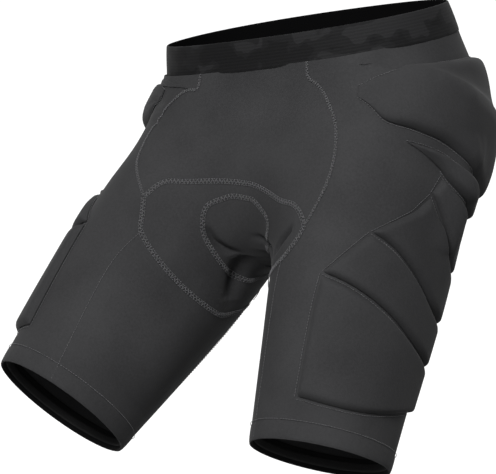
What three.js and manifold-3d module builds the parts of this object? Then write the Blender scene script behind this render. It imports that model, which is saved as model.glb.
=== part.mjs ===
// Padded impact shorts: stretch panels sewn round a seat pad, with foam pads on hips, thighs and
// tailbone. Millimetres. Origin at the centre of the waist opening, in the plane of its upper edge.
// +Z points up out of the waist, the front of the shorts faces -Y, and the wearer's left is +X. Both
// legs are part bent, as when the wearer strides: each leg leaves the seat on a line of its own.
//
// A place on the garment is given in garment coordinates: `d`, the distance down a line that runs from
// the waist through the hip and down the middle of the leg, and `angle`, in degrees round that line,
// with 0 at the front, 90 at the outer side, 180 at the back and 270 (or -90) at the inner side.
import * as THREE from 'three';
import { mergeVertices } from 'three/addons/utils/BufferGeometryUtils.js';
import Module from 'manifold-3d';

const wasm = await Module();
wasm.setup();
const { Manifold, Mesh } = wasm;

const V = (x, y, z) => new THREE.Vector3(x, y, z);
const radians = THREE.MathUtils.degToRad;

// ---- Driving dimensions -------------------------------------------------------------------------

const BAND_DEPTH = 33;          // height of the elastic waistband
const BAND_THICKNESS = 2.4;
const FABRIC = 1.6;             // thickness of a body panel
const SEAM_GAP = 0.62;          // degrees kept clear on each side of a seam
const LAYER_GAP = 1.4;          // clearance between stacked layers
const CUT_GAP = 0.4;            // clearance between pieces that meet at a cut
const LEG_LENGTH = 326;         // hip centre to hem
const HEM_DEPTH = 19;           // folded hem
const STRAIGHT_TOP = 40;        // the leg line leaves the waist straight down this far
const BEND_LENGTH = 190;        // and then curves into the leg over this distance
const BEND_END = 80;            // the curve ends this far below the hip centre
const BEND_HANDLE = 0.38;       // share of the bend that each end of the curve runs on straight
const LINE_OFFSET = 50;         // the leg line leaves the waist this far from the centre plane
const HEM_D = STRAIGHT_TOP + BEND_LENGTH + LEG_LENGTH - BEND_END;

// Half width, front and back of the seat of the garment at each height.
const SEAT = {
  z: [0, -33, -90, -150, -200, -236, -256],
  halfWidth: [160, 167, 177, 166, 146, 84, 24],
  front: [-107, -110, -133, -147, -140, -104, -50],
  back: [107, 111, 127, 135, 128, 92, 24],
};
const SEAT_SQUARENESS = 2.2;
const SEAT_FALL = 0.9;          // brings the seat's field close to true millimetres
const SEAT_CENTRE = V(0, -10, -120);

// Leg tube: half width and half depth at each distance below the hip centre.
const LEG = {
  s: [-40, 50, 140, 230, LEG_LENGTH],
  halfWidth: [88, 86, 81, 75, 71],
  halfDepth: [97, 100, 99, 89, 74],
};
const HIP = V(92, -36, -137);
const HIP_BLEND = 45;           // how softly the legs run into the seat
const CROTCH_BLEND = 12;

// Pose of each leg in the model's rest position, in degrees, and how far the thigh fills its tube: the
// more it is bent, the thicker it is.
const LEG_POSES = {
  left: { side: 1, flexion: 33, spread: -3.5, fullness: 0.985 },
  right: { side: -1, flexion: 50, spread: 18.5, fullness: 1.05 },
};

// Hip hinge, where the edges of hip pad and thigh pads meet: below and in front of the hip centre.
const HINGE = { below: 40, forward: 18 };
// Sectors round the hinge, in degrees from the leg's line, positive to the front.
const LEG_SECTOR = [-68, 40];
const SEAT_SECTOR = [-79, 61];
const CROTCH_RADIUS = 128;      // the crotch pieces stay inside this radius, the inner leg outside it
const CROTCH_REACH = -8;        // and inside this distance, outwards from the leg's line
const HINGE_RELIEF = 4;         // small hole in the side panels where their corners meet

// ---- Body form ----------------------------------------------------------------------------------

/** Smooth curve through the values at rising or falling stations. */
function along(stations, values, x) {
  const rising = stations[0] < stations[stations.length - 1];
  const xs = rising ? stations : [...stations].reverse();
  const ys = rising ? values : [...values].reverse();
  const last = xs.length - 1;
  const at = Math.min(Math.max(x, xs[0]), xs[last]);
  let i = 0;
  while (i < last - 1 && at > xs[i + 1]) i += 1;
  const chord = (k) => (ys[k + 1] - ys[k]) / (xs[k + 1] - xs[k]);
  const slope = (k) => (k === 0 ? chord(0) : k === last ? chord(last - 1) : (chord(k - 1) + chord(k)) / 2);
  const width = xs[i + 1] - xs[i];
  const t = (at - xs[i]) / width;
  const back = 1 - t;
  return (1 + 2 * t) * back * back * ys[i] + t * back * back * width * slope(i)
    + t * t * (3 - 2 * t) * ys[i + 1] - t * t * back * width * slope(i + 1);
}

/** Smooth minimum, which rounds the inside corner between two forms. */
function softMin(a, b, radius) {
  const h = Math.min(Math.max(0.5 + 0.5 * (b - a) / radius, 0), 1);
  return b * (1 - h) + a * h - radius * h * (1 - h);
}

/** Axes of a leg: down its line, outwards, and to the front. */
function legAxes({ side, flexion, spread }) {
  const bend = radians(flexion);
  const out = radians(spread);
  const down = V(side * Math.sin(out), -Math.sin(bend) * Math.cos(out), -Math.cos(bend) * Math.cos(out));
  return { down, ...crossAxes(down, side) };
}

/** Outward and forward axes across a line that points down. */
function crossAxes(down, side) {
  const outward = V(side, 0, 0).addScaledVector(down, -side * down.x).normalize();
  const forward = new THREE.Vector3().crossVectors(down, outward);
  if (forward.y > 0) forward.negate();
  return { outward, forward };
}

const legs = Object.fromEntries(Object.entries(LEG_POSES).map(([name, pose]) => {
  const hip = V(pose.side * HIP.x, HIP.y, HIP.z);
  const axes = legAxes(pose);
  const hinge = hip.clone().addScaledVector(axes.down, HINGE.below);
  hinge.addScaledVector(axes.forward, HINGE.forward);
  return [name, { name, side: pose.side, fullness: pose.fullness, hip, hinge, ...axes }];
}));

function seatField(p) {
  const halfWidth = along(SEAT.z, SEAT.halfWidth, p.z);
  const front = along(SEAT.z, SEAT.front, p.z);
  const back = along(SEAT.z, SEAT.back, p.z);
  const halfDepth = (back - front) / 2;
  const across = Math.abs(p.x / halfWidth) ** SEAT_SQUARENESS;
  const deep = Math.abs((p.y - (front + back) / 2) / halfDepth) ** SEAT_SQUARENESS;
  const field = ((across + deep) ** (1 / SEAT_SQUARENESS) - 1) * Math.sqrt(halfWidth * halfDepth) * SEAT_FALL;
  return Math.max(field, SEAT.z[SEAT.z.length - 1] - p.z);
}

function legField(p, leg) {
  const from = p.clone().sub(leg.hip);
  const s = from.dot(leg.down);
  const halfWidth = along(LEG.s, LEG.halfWidth, s) * leg.fullness;
  const halfDepth = along(LEG.s, LEG.halfDepth, s) * leg.fullness;
  const ratio = Math.hypot(from.dot(leg.outward) / halfWidth, from.dot(leg.forward) / halfDepth);
  return Math.max((ratio - 1) * Math.sqrt(halfWidth * halfDepth), LEG.s[0] - s);
}

/** Signed distance, near enough, from the garment's outer surface: negative inside the wearer. */
function bodyField(p) {
  const bothLegs = softMin(legField(p, legs.left), legField(p, legs.right), CROTCH_BLEND);
  return softMin(seatField(p), bothLegs, HIP_BLEND);
}

function normalAt(p) {
  const reach = 0.5;
  const slope = (step) => bodyField(p.clone().add(step)) - bodyField(p.clone().sub(step));
  return V(slope(V(reach, 0, 0)), slope(V(0, reach, 0)), slope(V(0, 0, reach))).normalize();
}

/** First point of the body surface on a straight line out of the body. */
function surfaceAlong(origin, direction) {
  const step = 6;
  const at = (r) => origin.clone().addScaledVector(direction, r);
  let far = step;
  while (bodyField(at(far)) < 0) far += step;
  let near = far - step;
  for (let k = 0; k < 16; k += 1) {
    const middle = (near + far) / 2;
    if (bodyField(at(middle)) < 0) near = middle;
    else far = middle;
  }
  return at(far);
}

// ---- Garment coordinates ------------------------------------------------------------------------

const legLines = Object.fromEntries(Object.values(legs).map((leg) => {
  const start = V(leg.side * LINE_OFFSET, 0, -STRAIGHT_TOP);
  const end = leg.hip.clone().addScaledVector(leg.down, BEND_END);
  const handle = BEND_LENGTH * BEND_HANDLE;
  const second = start.clone().add(V(0, 0, -handle));
  const third = end.clone().addScaledVector(leg.down, -handle);
  return [leg.name, new THREE.CubicBezierCurve3(start, second, third, end)];
}));

/** Point and axes of the leg line at distance d. */
function lineAt(leg, d) {
  const curve = legLines[leg.name];
  const u = (d - STRAIGHT_TOP) / BEND_LENGTH;
  const origin = curve.getPoint(Math.min(Math.max(u, 0), 1));
  const down = curve.getTangent(Math.min(Math.max(u, 0), 1));
  if (u < 0) origin.z -= d - STRAIGHT_TOP;
  if (u > 1) origin.addScaledVector(leg.down, d - STRAIGHT_TOP - BEND_LENGTH);
  return { origin, down, ...crossAxes(down, leg.side) };
}

/** Point of the body surface at garment coordinates. */
function place(leg, d, angle) {
  const line = lineAt(leg, d);
  const turn = radians(angle);
  const direction = line.forward.clone().multiplyScalar(Math.cos(turn));
  direction.addScaledVector(line.outward, Math.sin(turn));
  return surfaceAlong(line.origin, direction);
}

/** Garment coordinates of a point, with its angle between `from` and `from` + 360. */
function garmentCoordinates(leg, p, from = -180) {
  const height = (d) => {
    const line = lineAt(leg, d);
    return p.clone().sub(line.origin).dot(line.down);
  };
  const step = 4;
  let best = null;
  for (let d = 0; d < HEM_D; d += step) {
    if (height(d) * height(d + step) > 0) continue;
    let near = d;
    let far = d + step;
    for (let k = 0; k < 14; k += 1) {
      const middle = (near + far) / 2;
      if (height(near) * height(middle) > 0) near = middle;
      else far = middle;
    }
    const line = lineAt(leg, near);
    const across = p.clone().sub(line.origin);
    if (best && best.radius < across.length()) continue;
    const turn = THREE.MathUtils.radToDeg(Math.atan2(across.dot(line.outward), across.dot(line.forward)));
    best = { d: near, angle: turn < from ? turn + 360 : turn, radius: across.length() };
  }
  return best;
}

/** Point of the body surface on the centre plane: 0 degrees is the front, 90 is down. */
function centrePoint(degrees) {
  const turn = radians(degrees);
  return surfaceAlong(SEAT_CENTRE, V(0, -Math.cos(turn), -Math.sin(turn)));
}

/** Angle on the centre plane at which the body surface passes a height. */
function centreAngle(z, isBack) {
  let low = isBack ? 180 : -70;
  let high = isBack ? 250 : 0;
  for (let k = 0; k < 24; k += 1) {
    const middle = (low + high) / 2;
    const above = centrePoint(middle).z > z;
    if (above === isBack) high = middle;
    else low = middle;
  }
  return (low + high) / 2;
}

// ---- Seams, as curves of (d, angle) -------------------------------------------------------------

/** Smooth curve through points of the garment; returns a function of 0 to 1 that gives [d, angle]. */
function seam(...points) {
  const curve = new THREE.CatmullRomCurve3(points.map(([d, angle]) => V(d, angle, 0)), false, 'centripetal');
  return (u) => {
    const p = curve.getPointAt(Math.min(Math.max(u, 0), 1));
    return [p.x, p.y];
  };
}

const TOP_D = BAND_DEPTH + 1;
const FRONT_SHOULDER = [255, -4];    // where the front seam meets the arch of the seat pad
const LEG_SEAM_TOP = [300, -22];     // where the front leg seam leaves the arch
const BACK_SHOULDER = [260, 213];
const BACK_LEG_SEAM_TOP = [272, 217];

const frontSeamPoints = [[TOP_D, 9], [148, 10], [182, 13], [213, 11], FRONT_SHOULDER];
const frontLegPoints = [LEG_SEAM_TOP, [346, -22], [400, -25], [HEM_D, -32]];
const backSeamPoints = [[TOP_D, 168], [110, 173], [190, 184], [230, 198], BACK_SHOULDER];
const backLegPoints = [BACK_LEG_SEAM_TOP, [330, 208], [HEM_D, 203]];

const frontSeam = seam(...frontSeamPoints);
const backSeam = seam(...backSeamPoints);
const sideFront = seam(...frontSeamPoints, [278, -8], ...frontLegPoints);
const sideBack = seam(...backSeamPoints, ...backLegPoints);

const ARCH_TOP = 9;                  // centre-plane angles of the front and back ends of the seat pad
const ARCH_BACK = 124;

// ---- Solids -------------------------------------------------------------------------------------

function signedVolume(geometry) {
  const p = geometry.attributes.position;
  const corner = [V(0, 0, 0), V(0, 0, 0), V(0, 0, 0)];
  let sum = 0;
  for (let i = 0; i < geometry.index.count; i += 3) {
    corner.forEach((c, k) => c.fromBufferAttribute(p, geometry.index.getX(i + k)));
    sum += corner[0].dot(corner[1].clone().cross(corner[2]));
  }
  return sum / 6;
}

/** Turns every face outwards. */
function facingOut(geometry) {
  if (signedVolume(geometry) > 0) return geometry;
  const turned = Array.from(geometry.index.array);
  for (let i = 0; i < turned.length; i += 3) [turned[i], turned[i + 1]] = [turned[i + 1], turned[i]];
  geometry.setIndex(turned);
  return geometry;
}

/** Closed solid between two matching grids of points; `ring` joins the last column to the first. */
function slab(outer, inner, ring = false) {
  const rows = outer.length;
  const columns = outer[0].length;
  const positions = [...outer.flat(), ...inner.flat()].flatMap((p) => [p.x, p.y, p.z]);
  const at = (layer, i, j) => layer * rows * columns + i * columns + (j % columns);
  const index = [];
  const quad = (a, b, c, d) => index.push(a, b, c, a, c, d);
  const spans = ring ? columns : columns - 1;
  for (let i = 0; i < rows - 1; i += 1) {
    for (let j = 0; j < spans; j += 1) {
      quad(at(0, i, j), at(0, i, j + 1), at(0, i + 1, j + 1), at(0, i + 1, j));
      quad(at(1, i, j), at(1, i + 1, j), at(1, i + 1, j + 1), at(1, i, j + 1));
    }
    if (ring) continue;
    quad(at(0, i, 0), at(0, i + 1, 0), at(1, i + 1, 0), at(1, i, 0));
    quad(at(0, i, spans), at(1, i, spans), at(1, i + 1, spans), at(0, i + 1, spans));
  }
  for (let j = 0; j < spans; j += 1) {
    quad(at(0, 0, j), at(1, 0, j), at(1, 0, j + 1), at(0, 0, j + 1));
    quad(at(0, rows - 1, j), at(0, rows - 1, j + 1), at(1, rows - 1, j + 1), at(1, rows - 1, j));
  }
  const geometry = new THREE.BufferGeometry();
  geometry.setAttribute('position', new THREE.Float32BufferAttribute(positions, 3));
  geometry.setIndex(index);
  return facingOut(geometry);
}

/** Grid of surface points from a function of row and column shares. */
function grid(rows, columns, pointAt) {
  return Array.from({ length: rows + 1 }, (_, i) => (
    Array.from({ length: columns + 1 }, (_, j) => pointAt(i / rows, j / columns))));
}

/** Layer of even or varying thickness over a grid of surface points. */
function layer(points, low, high, ring = false) {
  const rows = points.length - 1;
  const columns = points[0].length - 1;
  const height = (value, i, j) => (typeof value === 'function' ? value(i / rows, j / columns) : value);
  const raised = (value) => points.map((row, i) => row.map((p, j) => (
    p.clone().addScaledVector(normalAt(p), height(value, i, j)))));
  return slab(raised(high), raised(low), ring);
}

/** Points of a patch between a front and a back curve, each a function of the share of the way down. */
function sidePatch(leg, rows, columns, front, back, trim = SEAM_GAP) {
  return grid(rows, columns, (v, u) => {
    const [d0, a0] = front(v);
    const [d1, a1] = back(v);
    const start = a0 + trim * Math.sign(a1 - a0);
    const end = a1 - trim * Math.sign(a1 - a0);
    return place(leg, d0 + (d1 - d0) * u, start + (end - start) * u);
  });
}

/** Points of a patch across the centre plane, out to the same seam on both sides. */
function centrePatch(rows, columns, [topDegrees, bottomDegrees], edge, from = -180, trim = SEAM_GAP) {
  return Array.from({ length: rows + 1 }, (_, i) => {
    const v = i / rows;
    const middle = centrePoint(topDegrees + (bottomDegrees - topDegrees) * v);
    const half = (leg) => {
      const centre = garmentCoordinates(leg, middle, from);
      const [d, edgeAngle] = edge(v);
      const angle = edgeAngle - trim * Math.sign(edgeAngle - centre.angle);
      return Array.from({ length: columns }, (_, j) => {
        const u = (j + 1) / columns;
        return place(leg, centre.d + (d - centre.d) * u, centre.angle + (angle - centre.angle) * u);
      });
    };
    return [...half(legs.right).reverse(), middle, ...half(legs.left)];
  });
}

function toManifold(geometry) {
  const bare = geometry.clone();
  bare.deleteAttribute('normal');
  bare.deleteAttribute('uv');
  const merged = facingOut(mergeVertices(bare, 1e-4));
  return new Manifold(new Mesh({
    numProp: 3,
    vertProperties: new Float32Array(merged.attributes.position.array),
    triVerts: new Uint32Array(merged.index.array),
  }));
}

function fromManifold(solid) {
  const { vertProperties, triVerts } = solid.getMesh();
  const geometry = new THREE.BufferGeometry();
  geometry.setAttribute('position', new THREE.BufferAttribute(vertProperties, 3));
  geometry.setIndex(Array.from(triVerts));
  return geometry;
}

/** Moves a tool from hinge axes (down the leg, forward, outward) into the model. */
function atHinge(leg, geometry) {
  const turn = new THREE.Matrix4().makeBasis(leg.down, leg.forward, leg.outward);
  return toManifold(geometry.applyMatrix4(turn.setPosition(leg.hinge)));
}

const TOOL_REACH = 420;         // past the garment on every side
const TOOL_SIDES = 96;
const PIN_SIDES = 16;

/** Wedge round the hinge between two angles. */
function sector(leg, [from, to]) {
  const steps = 6;
  const outline = new THREE.Shape([new THREE.Vector2(0, 0)]);
  for (let k = 0; k <= steps; k += 1) {
    const turn = radians(from + (to - from) * (k / steps));
    outline.lineTo(TOOL_REACH * Math.cos(turn), TOOL_REACH * Math.sin(turn));
  }
  const wedge = new THREE.ExtrudeGeometry(outline, { depth: 2 * TOOL_REACH, bevelEnabled: false });
  return atHinge(leg, wedge.translate(0, 0, -TOOL_REACH));
}

/** Cylinder round the hinge axis, from the inner side of the garment out to `reach`. */
function plug(leg, radius, reach, sides = TOOL_SIDES) {
  const length = TOOL_REACH + reach;
  const cylinder = new THREE.CylinderGeometry(radius, radius, length, sides).rotateX(Math.PI / 2);
  return atHinge(leg, cylinder.translate(0, 0, reach - length / 2));
}

const joins = Object.fromEntries(Object.values(legs).map((leg) => {
  const crotch = plug(leg, CROTCH_RADIUS + CUT_GAP, CROTCH_REACH + CUT_GAP);
  const pin = plug(leg, HINGE_RELIEF, TOOL_REACH / 2, PIN_SIDES);
  const around = (range) => sector(leg, range).subtract(crotch).subtract(pin);
  return [leg.name, {
    // Space of the moving leg, of the two stretch panels beside it, and of all three together.
    leg: around(LEG_SECTOR),
    groin: around([LEG_SECTOR[1] + CUT_GAP, SEAT_SECTOR[1] - CUT_GAP]),
    glute: around([SEAT_SECTOR[0] + CUT_GAP, LEG_SECTOR[0] - CUT_GAP]),
    all: sector(leg, SEAT_SECTOR).subtract(plug(leg, CROTCH_RADIUS, CROTCH_REACH)).add(pin),
  }];
}));

/** The largest body of a solid: a cut past a seam can leave a crumb beside it. */
function mainBody(solid) {
  const bodies = solid.decompose();
  return fromManifold(bodies.reduce((best, body) => (body.volume() > best.volume() ? body : best)));
}

/** Keeps what stays with the seat of the garment. */
function seatPart(geometry, sides = ['left', 'right']) {
  return mainBody(sides.reduce((solid, side) => solid.subtract(joins[side].all), toManifold(geometry)));
}

const partIn = (geometry, space) => mainBody(toManifold(geometry).intersect(space));

// ---- Materials ----------------------------------------------------------------------------------

const finish = (color, roughness) => new THREE.MeshStandardMaterial({ color, roughness, metalness: 0 });
const finishes = {
  fabric: () => finish('#3d3d3f', 0.85),
  elastic: () => finish('#1e1e20', 0.8),
  foam: () => finish('#4a4a4c', 0.9),
  mesh: () => finish('#18181a', 0.95),
  chamois: () => finish('#2a2a2d', 0.95),
  silicone: () => finish('#0e0e10', 0.5),
  thread: () => finish('#77777a', 0.7),
};

const shorts = new THREE.Group();

function addPiece(name, geometry, material) {
  const piece = new THREE.Mesh(geometry, material());
  piece.name = name;
  shorts.add(piece);
}

// ---- Waistband ----------------------------------------------------------------------------------

const WAIST_RATIO = 1.45;       // width over depth, for the direction out of the oval
const WAIST_COLUMNS = 56;

function waistRing(z, columns) {
  const halfWidth = along(SEAT.z, SEAT.halfWidth, z);
  const front = along(SEAT.z, SEAT.front, z);
  const back = along(SEAT.z, SEAT.back, z);
  return Array.from({ length: columns }, (_, j) => {
    const turn = 2 * Math.PI * (j / columns);
    const power = 2 / SEAT_SQUARENESS;
    const x = halfWidth * Math.sign(Math.cos(turn)) * Math.abs(Math.cos(turn)) ** power;
    const y = ((back - front) / 2) * Math.sign(Math.sin(turn)) * Math.abs(Math.sin(turn)) ** power;
    return V(x, y + (front + back) / 2, z);
  });
}

/** Band that follows the waist between two heights, from `inside` to `outside` of the body surface. */
function waistLayer(zs, inside, outside) {
  const rings = zs.map((z) => waistRing(z, WAIST_COLUMNS));
  const moved = (offset) => rings.map((ring) => ring.map((p) => {
    const outward = V(p.x / WAIST_RATIO, p.y, 0).normalize();
    return p.clone().addScaledVector(outward, offset);
  }));
  return slab(moved(outside), moved(inside), true);
}

const bandLayer = waistLayer([0, -BAND_DEPTH], -FABRIC, BAND_THICKNESS - FABRIC);
addPiece('waistband', bandLayer, finishes.elastic);

// ---- Panels on the centre plane -----------------------------------------------------------------

const waistFront = centreAngle(-TOP_D, false);
const waistBack = centreAngle(-TOP_D, true);

/** Seam that leads from the front shoulder of the arch round the inner thigh to the back shoulder. */
const archRound = seam([257, -4.2], [278, -8], LEG_SEAM_TOP, [313, -42], [319, -62], [319, -85],
  [309, -111], [291, -128], [276, -140], [267, -144]);
const backSeamUp = (v) => backSeam(1 - v);

const frontPatch = centrePatch(8, 5, [waistFront, ARCH_TOP], frontSeam);
addPiece('front_panel', seatPart(layer(frontPatch, -FABRIC, 0)), finishes.fabric);

const seatPatch = centrePatch(10, 5, [ARCH_BACK + 2.5, waistBack], backSeamUp, 0);
addPiece('seat_panel', seatPart(layer(seatPatch, -FABRIC, 0)), finishes.fabric);

const crotchPatch = centrePatch(14, 5, [ARCH_TOP + 1, ARCH_BACK], archRound);
addPiece('crotch_gusset', seatPart(layer(crotchPatch, -FABRIC, 0)), finishes.fabric);

// ---- Panels of each leg -------------------------------------------------------------------------

const LEG_COLUMNS = 36;
const HEM_FOLD = 1;             // thickness of the turned-in hem
const GRIPPER = { from: 12, to: 3, thickness: 1, gap: 0.8 };

/** Ring round a leg between two distances down its line. */
function legRing(leg, from, to) {
  const points = grid(1, LEG_COLUMNS, (v, u) => place(leg, from + (to - from) * v, 360 * u));
  return points.map((row) => row.slice(0, -1));
}

const SIDE_ROWS = 24;
const SIDE_COLUMNS = 15;
const sidePatches = Object.fromEntries(Object.values(legs).map((leg) => (
  [leg.name, sidePatch(leg, SIDE_ROWS, SIDE_COLUMNS, sideFront, sideBack)])));

for (const leg of Object.values(legs)) {
  const join = joins[leg.name];
  const side = layer(sidePatches[leg.name], -FABRIC, 0);
  addPiece(`${leg.name}_hip_panel`, seatPart(side, [leg.name]), finishes.fabric);
  addPiece(`${leg.name}_groin_stretch_panel`, partIn(side, join.groin), finishes.fabric);
  addPiece(`${leg.name}_glute_stretch_panel`, partIn(side, join.glute), finishes.fabric);
  addPiece(`${leg.name}_thigh_panel`, partIn(side, join.leg), finishes.fabric);

  // The inner panel is drawn past the arch of the seat pad and cut back to the circle it turns on.
  const innerFront = seam([278, -8], ...frontLegPoints);
  const innerBack = seam(...[BACK_SHOULDER, ...backLegPoints].map(([d, angle]) => [d, angle - 360]));
  const inner = layer(sidePatch(leg, 12, 9, innerFront, innerBack), -FABRIC, 0);
  addPiece(`${leg.name}_inner_leg_panel`, partIn(inner, join.leg), finishes.fabric);

  const hemOuter = -FABRIC - LAYER_GAP;
  const hemInner = hemOuter - HEM_FOLD;
  const hem = layer(legRing(leg, HEM_D - HEM_DEPTH, HEM_D), hemInner, hemOuter, true);
  addPiece(`${leg.name}_hem_band`, hem, finishes.fabric);
  const tapeOuter = hemInner - GRIPPER.gap;
  const tapeRing = legRing(leg, HEM_D - GRIPPER.from, HEM_D - GRIPPER.to);
  const tape = layer(tapeRing, tapeOuter - GRIPPER.thickness, tapeOuter, true);
  addPiece(`${leg.name}_hem_gripper`, tape, finishes.silicone);
}

// ---- Pads on hips and thighs --------------------------------------------------------------------

const THIGH_PAD = 8;            // thickness of the thigh segments at their middle
const HIP_PAD = 10;
const PAD_GAP = 3.2;            // clearance between a pad and the panel below it
const PAD_EDGE = 2.5;           // thickness of every pad at its stitched edge
const CHANNEL = 3.5;            // half width of the sewn channel between two segments
const SHOULDER = 0.2;           // share of a pad's width over which it rises from its edge

/** Pad over a patch of the surface, thin at its stitched edge and full in the middle. */
function pad(points, thickness) {
  const bulge = (share) => Math.min(1, Math.min(share, 1 - share) / SHOULDER);
  const rise = (v, u) => PAD_EDGE + (thickness - PAD_EDGE) * Math.sqrt(bulge(u) * bulge(v));
  return layer(points, PAD_GAP, (v, u) => PAD_GAP + rise(v, u));
}

/** Curve moved down the leg by an amount. */
const lowered = (curve, by) => (u) => {
  const [d, angle] = curve(u);
  return [d + by, angle];
};

/** Points of a patch between an upper and a lower curve that both run from front to back. */
function band(leg, rows, columns, upper, lower) {
  return grid(rows, columns, (v, u) => {
    const [d0, a0] = upper(u);
    const [d1, a1] = lower(u);
    return place(leg, d0 + (d1 - d0) * v, a0 + (a1 - a0) * v);
  });
}

// Sewn lines of the thigh pad, from its front edge to its back edge.
const thighLines = [
  seam([204, 79], [211, 96], [215, 116], [217, 138]),
  seam([217, 75], [230, 89], [247, 102], [259, 118], [264, 138]),
  seam([265, 39], [274, 56], [290, 78], [310, 106], [318, 138]),
  seam([314, 14], [321, 32], [337, 63], [354, 96], [366, 134]),
  seam([436, 11], [439, 30], [439, 51], [435, 70], [420, 110], [414, 126]),
];
// Upper and lower edges of the two segments of the hip pad.
const hipEdges = [
  [seam([140, 27], [132, 37], [120, 53], [98, 75], [73, 107], [62, 132]),
    seam([156, 25], [168, 31], [180, 38], [184, 55], [186, 76], [193, 106], [197, 134])],
  [seam([190, 50], [190, 76], [197, 106], [201, 134]),
    seam([202, 76], [207, 84], [211, 96], [211, 118], [211, 136])],
];

for (const leg of Object.values(legs)) {
  const join = joins[leg.name];
  for (let k = 0; k < thighLines.length - 1; k += 1) {
    const rows = k === 3 ? 7 : 4;
    const points = band(leg, rows, 9, lowered(thighLines[k], CHANNEL), lowered(thighLines[k + 1], -CHANNEL));
    addPiece(`${leg.name}_thigh_pad_${k + 1}`, partIn(pad(points, THIGH_PAD), join.leg), finishes.foam);
  }
  hipEdges.forEach(([upper, lower], k) => {
    const points = band(leg, k === 0 ? 7 : 3, 12, lowered(upper, CHANNEL), lowered(lower, -CHANNEL));
    addPiece(`${leg.name}_hip_pad_${k + 1}`, seatPart(pad(points, HIP_PAD), [leg.name]), finishes.foam);
  });
}

// ---- Tailbone pad: two halves beside a sewn centre channel --------------------------------------

const TAILBONE_PAD = 5;
const tailboneInner = seam([72, 200], [110, 202], [152, 206]);
const tailboneOuter = seam([84, 184], [115, 183], [142, 188]);

for (const leg of Object.values(legs)) {
  const points = sidePatch(leg, 7, 3, tailboneOuter, tailboneInner);
  addPiece(`${leg.name}_tailbone_pad`, pad(points, TAILBONE_PAD), finishes.foam);
}

// ---- Linings: thin mesh that holds the pads from inside -----------------------------------------

const LINING = 0.8;
const INSIDE = FABRIC + LAYER_GAP;

/** Part of a patch, by rows and columns, so that a layer below it has the same facets. */
const within = (points, [row0, row1], [column0, column1]) => (
  points.slice(row0, row1 + 1).map((row) => row.slice(column0, column1 + 1)));

for (const leg of Object.values(legs)) {
  const thighCut = within(sidePatches[leg.name], [10, 22], [3, 12]);
  const thigh = layer(thighCut, -INSIDE - LINING, -INSIDE);
  addPiece(`${leg.name}_thigh_lining`, partIn(thigh, joins[leg.name].leg), finishes.mesh);
  const hipCut = within(sidePatches[leg.name], [2, 10], [2, 12]);
  const hip = layer(hipCut, -INSIDE - LINING, -INSIDE);
  addPiece(`${leg.name}_hip_lining`, seatPart(hip, [leg.name]), finishes.mesh);
}

// ---- Seat pad inside the crotch -----------------------------------------------------------------

const SEAT_FOAM = 5.5;
const FOAM_GAP = 0.4;
const COVER_GAP = 4.4;          // the foam and its cover curve apart at the crotch
const COVER = 1.2;
const COVER_DEPTH = INSIDE + SEAT_FOAM + COVER_GAP;

const gussetRoom = toManifold(layer(crotchPatch, -FABRIC - CUT_GAP, CUT_GAP));
const foamPatch = within(crotchPatch, [3, 11], [2, 8]);
const foam = toManifold(layer(foamPatch, -INSIDE - SEAT_FOAM, -INSIDE - FOAM_GAP));
addPiece('seat_pad_foam', mainBody(foam.subtract(gussetRoom)), finishes.foam);

const foamRoom = toManifold(layer(foamPatch, -INSIDE - SEAT_FOAM - FOAM_GAP, -INSIDE)).add(foam);
const coverPatch = within(crotchPatch, [2, 12], [1, 9]);
const cover = toManifold(layer(coverPatch, -COVER_DEPTH - COVER, -COVER_DEPTH));
addPiece('seat_pad_cover', mainBody(cover.subtract(foamRoom)), finishes.chamois);

// ---- Flat-locked seam threads -------------------------------------------------------------------

const THREAD_GAP = 1.5;
const THREAD = 0.8;
const SEAM_WIDTH = 4.5;
const MEAN_RADIUS = 90;         // of the garment, to compare turn round it with distance along it

/** Ribbon of thread along a curve of the garment. */
function threadAlong(leg, curve, rows) {
  const step = 0.01;
  const points = grid(rows, 1, (v, u) => {
    const [d, angle] = curve(v);
    const [dNext, angleNext] = curve(Math.min(v + step, 1));
    const [dLast, angleLast] = curve(Math.max(v - step, 0));
    const scale = radians(1) * MEAN_RADIUS;
    const length = Math.hypot(dNext - dLast, (angleNext - angleLast) * scale);
    const across = (u - 0.5) * SEAM_WIDTH;
    return place(leg, d - across * (angleNext - angleLast) * scale / length,
      angle + across * (dNext - dLast) / length / scale);
  });
  return layer(points, THREAD_GAP, THREAD_GAP + THREAD);
}

for (const leg of Object.values(legs)) {
  const join = joins[leg.name];
  const frontThread = threadAlong(leg, frontSeam, 18);
  addPiece(`${leg.name}_front_seam_thread`, seatPart(frontThread), finishes.thread);
  const backThread = threadAlong(leg, seam(...backSeamPoints.slice(0, 2), [176, 181]), 16);
  addPiece(`${leg.name}_back_seam_thread`, seatPart(backThread), finishes.thread);
  const legSeam = seam(...frontLegPoints.slice(0, 3), [HEM_D - HEM_DEPTH - 2 * SEAM_WIDTH, -30]);
  const legThread = threadAlong(leg, legSeam, 14);
  addPiece(`${leg.name}_leg_seam_thread`, partIn(legThread, join.leg), finishes.thread);
  const arch = seam([262, -8], [282, -14], [299, -28], [309, -46], [314, -64], [314, -84],
    [304, -108], [288, -124]);
  const archThread = threadAlong(leg, arch, 20);
  addPiece(`${leg.name}_arch_thread`, seatPart(archThread), finishes.thread);
  const hemLine = HEM_D - HEM_DEPTH;
  const hemRing = legRing(leg, hemLine - SEAM_WIDTH / 2, hemLine + SEAM_WIDTH / 2);
  addPiece(`${leg.name}_hem_thread`, layer(hemRing, THREAD_GAP, THREAD_GAP + THREAD, true), finishes.thread);
}

export default shorts;
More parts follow.
